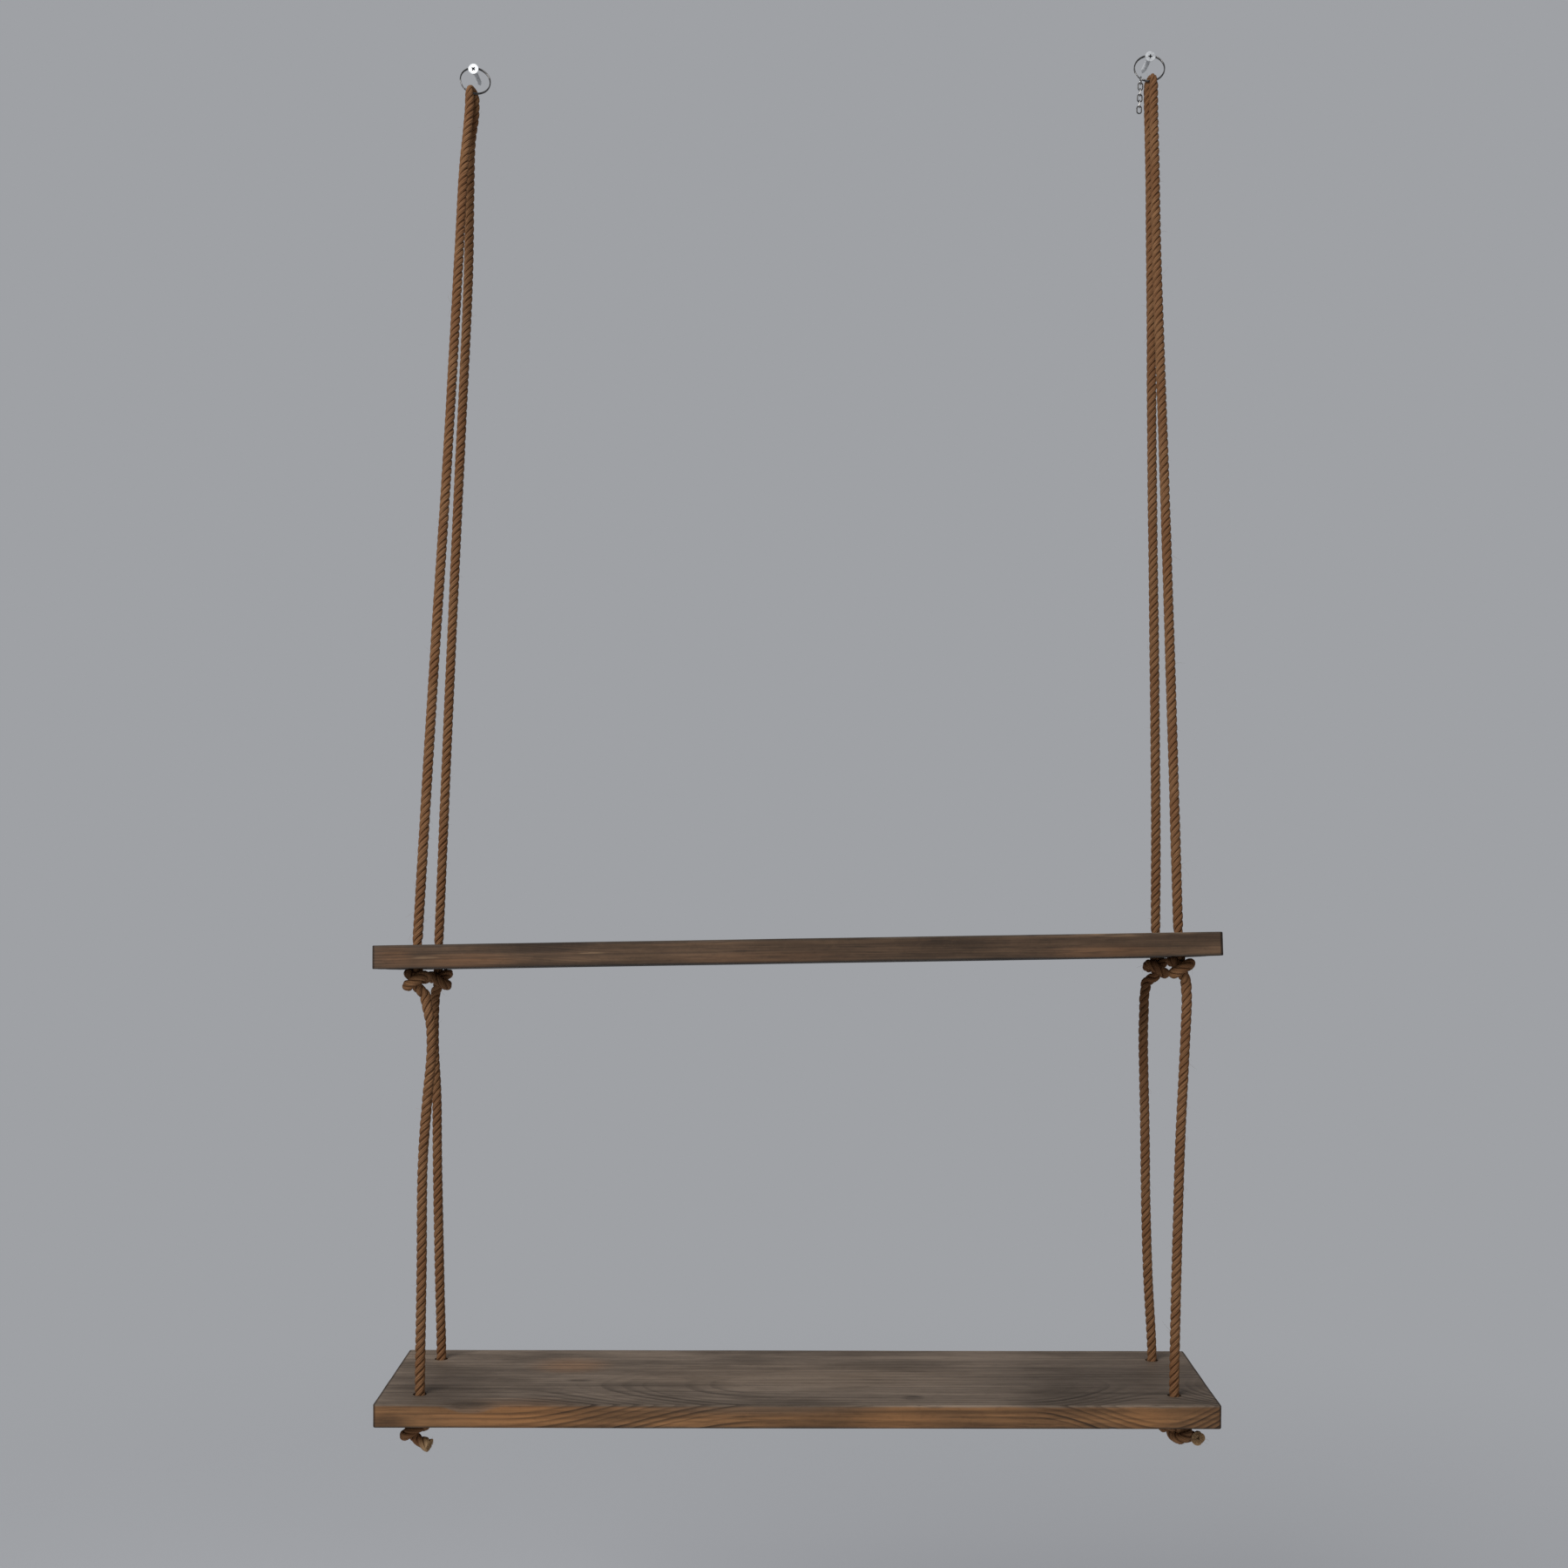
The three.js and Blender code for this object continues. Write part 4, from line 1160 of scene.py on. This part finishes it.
wave_faces(lower_block, 2, 0.4 * MM, WAVE_SIZE)
for side in (-1, 1):
    for y in (-HOLE_Y, HOLE_Y):
        drill(upper_block, side * UPPER_HOLE_X, y)
        drill(lower_block, side * LOWER_HOLE_X, y)
for middle, size, degrees in LOWER_CHIPS:
    chip(lower_block, middle, size, math.radians(degrees))
finish_board(upper_block, upper_board, "upper_shelf_board", "upper_shelf", upper_wood)
finish_board(lower_block, lower_board, "lower_shelf_board", "lower_shelf", lower_wood)

# %% [markdown]
# ## Wall screws
# A countersunk screw is turned from one bar, so it starts as a round face at the front and is drawn back
# to the wall and into it: rim, cone, shank, core and point. The cross recess is pressed in, so it is cut
# by two slots that narrow inwards. The thread is a ridge that winds round the core, drawn out step by
# step from one small diamond. In the photo the left screw stands 1 mm further left than in the packed
# model, and the scene follows the photo.


# %% Wall screws
SCREW_HEAD, SCREW_SHANK, SCREW_CORE = 4 * MM, 2 * MM, 1.45 * MM
SCREW_FRONT, SCREW_END, SCREW_POINT = -10 * MM, 30 * MM, 6 * MM
THREAD_PITCH, THREAD_STEPS = 2.8 * MM, 24
RECESS_REACH, RECESS_WIDTH, RECESS_DEPTH = 4.2 * MM, 1.2 * MM, 1.7 * MM
RECESS_RADIUS, RECESS_FROM, RECESS_TO = 2.2 * MM, SCREW_FRONT + 0.02 * MM, SCREW_FRONT + 1.75 * MM
LEFT_SCREW_IN_PHOTO = (-250.7 * MM, -10.1 * MM)


def draw_on(y_step, turn):
    """Draws the chosen face on along Y and turns it round the Y axis."""
    bpy.ops.mesh.extrude_region_move(TRANSFORM_OT_translate={"value": (0, y_step, 0)})
    bpy.ops.transform.rotate(value=turn, orient_axis="Y", center_override=(0, 0, 0))


def close_and_face_out(thing):
    """Turns all faces outward and leaves edit mode."""
    bpy.ops.mesh.select_all(action="SELECT")
    bpy.ops.mesh.normals_make_consistent(inside=False)
    bpy.ops.object.mode_set(mode="OBJECT")
    return thing


def drawn_round(name, profile, corners=48):
    """A closed round piece on the Y axis: a disc drawn along Y through the given places and radii."""
    bpy.ops.object.select_all(action="DESELECT")
    (start, radius), *rest = profile
    bpy.ops.mesh.primitive_circle_add(
        vertices=corners, radius=radius, fill_type="NGON", location=(0, start, 0), rotation=(QUARTER, 0, 0))
    piece = bpy.context.object
    piece.name = name
    bpy.ops.object.transform_apply()
    bpy.ops.object.mode_set(mode="EDIT")
    bpy.ops.mesh.select_all(action="SELECT")
    for place, wide in rest:
        bpy.ops.mesh.extrude_region_move(TRANSFORM_OT_translate={"value": (0, place - start, 0)})
        share = wide / radius
        bpy.ops.transform.resize(value=(share, 1, share), center_override=(0, place, 0))
        start, radius = place, wide
    return close_and_face_out(piece)


def recess_slot(turn):
    """A slot across the head that narrows towards its floor."""
    bpy.ops.object.select_all(action="DESELECT")
    bpy.ops.mesh.primitive_cube_add(size=1)
    slot = bpy.context.object
    over = 1 * MM
    slot.data.transform(Matrix.Diagonal((RECESS_REACH, RECESS_DEPTH + over, RECESS_WIDTH, 1)))
    for corner in slot.data.vertices:
        if corner.co.y > 0:
            corner.co.x *= RECESS_WIDTH / RECESS_REACH
            corner.co.z *= 0.5
    middle = Matrix.Translation((0, SCREW_FRONT + (RECESS_DEPTH - over) / 2, 0))
    slot.data.transform(turned("Y", turn) @ middle)
    return slot


def thread_ridge():
    """A diamond drawn round the core and along it, one small step at a time."""
    bpy.ops.object.select_all(action="DESELECT")
    bpy.ops.mesh.primitive_circle_add(
        vertices=4, radius=0.55 * MM, fill_type="NGON", location=(SCREW_CORE, THREAD_PITCH, 0))
    ridge = bpy.context.object
    bpy.ops.object.transform_apply()
    bpy.ops.object.mode_set(mode="EDIT")
    bpy.ops.mesh.select_all(action="SELECT")
    steps = int((SCREW_END - SCREW_POINT - 2 * THREAD_PITCH) / THREAD_PITCH * THREAD_STEPS)
    for _ in range(steps):
        draw_on(THREAD_PITCH / THREAD_STEPS, 2 * math.pi / THREAD_STEPS)
    return close_and_face_out(ridge)


def wall_screw(name, x, z, turn):
    screw = drawn_round(name, [
        (SCREW_FRONT, SCREW_HEAD - 0.15 * MM), (SCREW_FRONT + 0.15 * MM, SCREW_HEAD),
        (SCREW_FRONT + 0.4 * MM, SCREW_HEAD), (SCREW_FRONT + 2.4 * MM, SCREW_SHANK), (0, SCREW_SHANK),
        (SCREW_CORE, SCREW_CORE), (SCREW_END - SCREW_POINT, SCREW_CORE), (SCREW_END, 0.05 * MM),
    ])
    join_or_cut(screw, thread_ridge(), "UNION")
    for slot_turn in (0, QUARTER):
        join_or_cut(screw, recess_slot(slot_turn))
    screw.data.transform(Matrix.Translation((x, 0, z)) @ turned("Y", turn))
    shade_by_angle(screw, 32)
    for _ in range(2):
        screw.data.materials.append(None)
    # Faces in the cross recess take the second, dark finish: painted shade.
    recess = 0
    for face in screw.data.polygons:
        x_off, y, z_off = face.center - Vector((x, 0, z))
        in_recess = math.hypot(x_off, z_off) < RECESS_RADIUS and RECESS_FROM < y < RECESS_TO
        face.material_index = int(in_recess)
        recess += in_recess
    print(name, len(screw.data.polygons), "faces,", recess, "of them in the recess")
    return screw


left_screw = wall_screw("zinc_left_screw", *LEFT_SCREW_IN_PHOTO, math.radians(38))
right_screw = wall_screw("zinc_right_screw", *RIGHT_SCREW, math.radians(4))
metal_pieces = {
    "left_wall_screw": (left_screw, "wall_fixing"),
    "right_wall_screw": (right_screw, "wall_fixing"),
}

# %% [markdown]
# ## Split rings
# A split ring is one wire wound into two flat turns that lie side by side, with a short step from one
# turn to the other. Here a round face of wire is drawn round the ring's axis in small steps, and moved
# sideways on the way over the step. Its two cut ends stay flat.

# %% Split rings
RING_STEPS = 72
STEP_DOWN = math.radians(44)


def split_ring(name, place, opening):
    bpy.ops.object.select_all(action="DESELECT")
    bpy.ops.mesh.primitive_circle_add(
        vertices=12, radius=WIRE / 2, fill_type="NGON", location=(RING_RADIUS, -RING_TURN_PITCH / 2, 0))
    ring = bpy.context.object
    ring.name = name
    bpy.ops.object.transform_apply()
    ring.data.transform(turned("Y", -STEP_DOWN / 2))
    bpy.ops.object.mode_set(mode="EDIT")
    bpy.ops.mesh.select_all(action="SELECT")
    sweep = (4 * math.pi - STEP_DOWN) / (2 * RING_STEPS)
    side = 0
    for step in range(1, 2 * RING_STEPS + 1):
        at = STEP_DOWN / 2 + step * sweep
        past = float(ease(2 * math.pi - STEP_DOWN / 2, 2 * math.pi + STEP_DOWN / 2, at))
        draw_on((past - side) * RING_TURN_PITCH, sweep)
        side = past
    close_and_face_out(ring)
    ring.data.transform(place @ turned("Y", opening))
    shade_by_angle(ring, 40)
    return ring


left_steel = split_ring("steel_left_ring", left_ring, math.radians(160))
right_steel = split_ring("steel_right_ring", right_ring, math.radians(140))
metal_pieces["left_split_ring"] = (left_steel, "left_ring")
metal_pieces["right_split_ring"] = (right_steel, "right_ring")

# %% [markdown]
# ## The little chain
# A link is a ring of wire pulled long. It starts as a round ring, and its two halves are moved apart,
# which leaves straight sides between them. One link is modelled and copied, and each copy stands a
# quarter turn from the next. The chain leans a little to the left, one small step more for each link, so
# it keeps clear of the rope when the shelf sways.

# %% Chain
CHAIN_WIRE, JUMP_RING = 0.9 * MM, 6.8 * MM
LINK_LENGTH, LINK_WIDTH = 6.6 * MM, 4.4 * MM
CHAIN_LEAN = 0.24 * MM


def wire_link(name, length, width):
    """A link that stands in the XZ plane with its length along Z."""
    bpy.ops.object.select_all(action="DESELECT")
    bpy.ops.mesh.primitive_torus_add(
        major_radius=(width - CHAIN_WIRE) / 2, minor_radius=CHAIN_WIRE / 2,
        major_segments=40, minor_segments=12, rotation=(QUARTER, 0, 0))
    link = bpy.context.object
    link.name = name
    bpy.ops.object.transform_apply()
    bpy.ops.object.mode_set(mode="EDIT")
    for half in (-1, 1):
        work = bmesh.from_edit_mesh(link.data)
        bpy.ops.mesh.select_all(action="DESELECT")
        for corner in work.verts:
            corner.select_set(corner.co.z * half > TOUCHING)
        bmesh.update_edit_mesh(link.data)
        bpy.ops.transform.translate(value=(0, 0, half * (length - width) / 2))
    bpy.ops.object.mode_set(mode="OBJECT")
    only_select(link)
    bpy.ops.object.shade_smooth()
    return link


def box_middle(node):
    low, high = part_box(node)
    return (low + high) / 2, high - low


one_link = wire_link("chain_link", LINK_LENGTH, LINK_WIDTH)
chain_nodes = ["key_chain_jump_ring"] + ["key_chain_link_%d" % n for n in range(1, 6)]
for number, node in enumerate(chain_nodes):
    middle, size = box_middle(node)
    if node == "key_chain_jump_ring":
        link = wire_link("chain_jump_ring", JUMP_RING, JUMP_RING)
    else:
        link = one_link.copy()
        link.data = one_link.data.copy()
        link.name = node.replace("key_", "")
        bpy.context.scene.collection.objects.link(link)
    aside = Matrix.Translation(middle - Vector((CHAIN_LEAN * number, 0, 0)))
    link.data.transform(aside @ turned("Z", QUARTER if size.y > size.x else 0))
    metal_pieces[node] = (link, "key_chain")
bpy.data.objects.remove(one_link)
for node, (piece, body) in metal_pieces.items():
    low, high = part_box(node)
    own = np.array([corner.co for corner in piece.data.vertices])
    off = max(np.abs(own.min(0) - low).max(), np.abs(own.max(0) - high).max())
    print(node, "stands", round(off / MM, 2), "mm or less from the packed one")

# %% [markdown]
# ## Metal
# The screws are zinc plated with a dull skin, so they shine only a little, and their cross is painted dark as
# shade.
# The split rings are darker nickel, and the chain's links are bright and dark in turn.


# %% Metal finishes
def metal_material(name, base_colour, dull_colour, roughness, shine=1.0):
    material, tree, shader = new_material(name)
    patches = noise(tree, object_place(tree), 420, 3, 0.6)
    dulled = rescale(tree, patches, 0.4, 0.7)
    feed(tree, shader.inputs["Base Color"], blend_colours(tree, dulled, base_colour, dull_colour))
    shader.inputs["Metallic"].default_value = shine
    shader.inputs["Roughness"].default_value = roughness
    return material


zinc = metal_material("zinc_plate", colour(232, 234, 236), colour(196, 198, 200), 0.42, 0.25)
# A dark finish for the cross recess, as painted shade.
recess_shade = metal_material("recess_shade", colour(70, 74, 76), colour(40, 42, 44), 0.6, 0.25)
dark_steel = metal_material("dark_nickel", colour(128, 126, 124), colour(80, 78, 76), 0.3)
bright_chain = metal_material("bright_nickel", colour(200, 198, 195), colour(120, 118, 116), 0.3)
dark_chain = metal_material("dark_chain_nickel", colour(96, 93, 90), colour(48, 46, 44), 0.4)
for number, (node, (piece, body)) in enumerate(metal_pieces.items()):
    if "screw" in node:
        piece.data.materials[0], piece.data.materials[1] = zinc, recess_shade
    elif "split" in node:
        piece.data.materials.append(dark_steel)
    else:
        piece.data.materials.append((bright_chain, dark_chain)[number % 2])
    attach(piece, body)
    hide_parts(node)

# %% [markdown]
# ## Floor and light
# The room is a soft grey all round, like the wall in the photo. A wide soft light stands a metre above
# the screws, to the left and in front, so undersides and the rear ropes lie in shade. The room's grey
# lights the shelf less strongly than it shows to the camera. The floor fades out within two metres, so it
# meets the grey without a line.

# %% Room
ROOM_GREY, ROOM_LIGHT = colour(159, 161, 165), 0.7
FLOOR_RADIUS, FLOOR_HEIGHT, FLOOR_FADES = 2.5, -1.42, (0.15, 1.9)
LIGHT_PLACE, LIGHT_AIM, LIGHT_POWER = (-1.3, -2.3, 1.0), Vector((0, 0, -0.6)), 58

scene = bpy.context.scene
scene.view_settings.view_transform = "Standard"
world = bpy.data.worlds.new("room")
scene.world = world
world.use_nodes = True
air = world.node_tree.nodes["Background"]
air.inputs[0].default_value = ROOM_GREY
seen_directly = world.node_tree.nodes.new("ShaderNodeLightPath").outputs["Is Camera Ray"]
feed(world.node_tree, air.inputs[1], rescale(world.node_tree, seen_directly, 0, 1, ROOM_LIGHT, 1.0))

bpy.ops.object.select_all(action="DESELECT")
bpy.ops.mesh.primitive_circle_add(
    vertices=96, radius=FLOOR_RADIUS, fill_type="NGON", location=(0, 0, FLOOR_HEIGHT))
floor = bpy.context.object
floor.name = "floor"
floor_paint, tree, shader = new_material("floor_paint")
shader.inputs["Base Color"].default_value = colour(228, 229, 232)
shader.inputs["Roughness"].default_value = 0.9
shader.inputs["Specular IOR Level"].default_value = 0.1
far = tree.nodes.new("ShaderNodeVectorMath")
far.operation = "LENGTH"
feed(tree, far.inputs[0], object_place(tree))
feed(tree, shader.inputs["Alpha"], rescale(tree, far.outputs["Value"], *FLOOR_FADES, 1, 0))
floor.data.materials.append(floor_paint)
floor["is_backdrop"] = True

key_data = bpy.data.lights.new("soft_window", "AREA")
key_data.shape = "RECTANGLE"
key_data.size, key_data.size_y = 1.9, 1.4
key_data.energy = LIGHT_POWER
key = bpy.data.objects.new("soft_window", key_data)
key.location = LIGHT_PLACE
key.rotation_mode = "QUATERNION"
key.rotation_quaternion = (LIGHT_AIM - key.location).to_track_quat("-Z", "Y")
scene.collection.objects.link(key)

# %% [markdown]
# ## Size
# The box round everything shown, the floor left out, is printed. The looks have to stay as large as the
# imported model, but for loose fibre.

# %% Sizes and end
low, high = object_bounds()
print("looks ", [round(x, 4) for x in (*low, *high)])
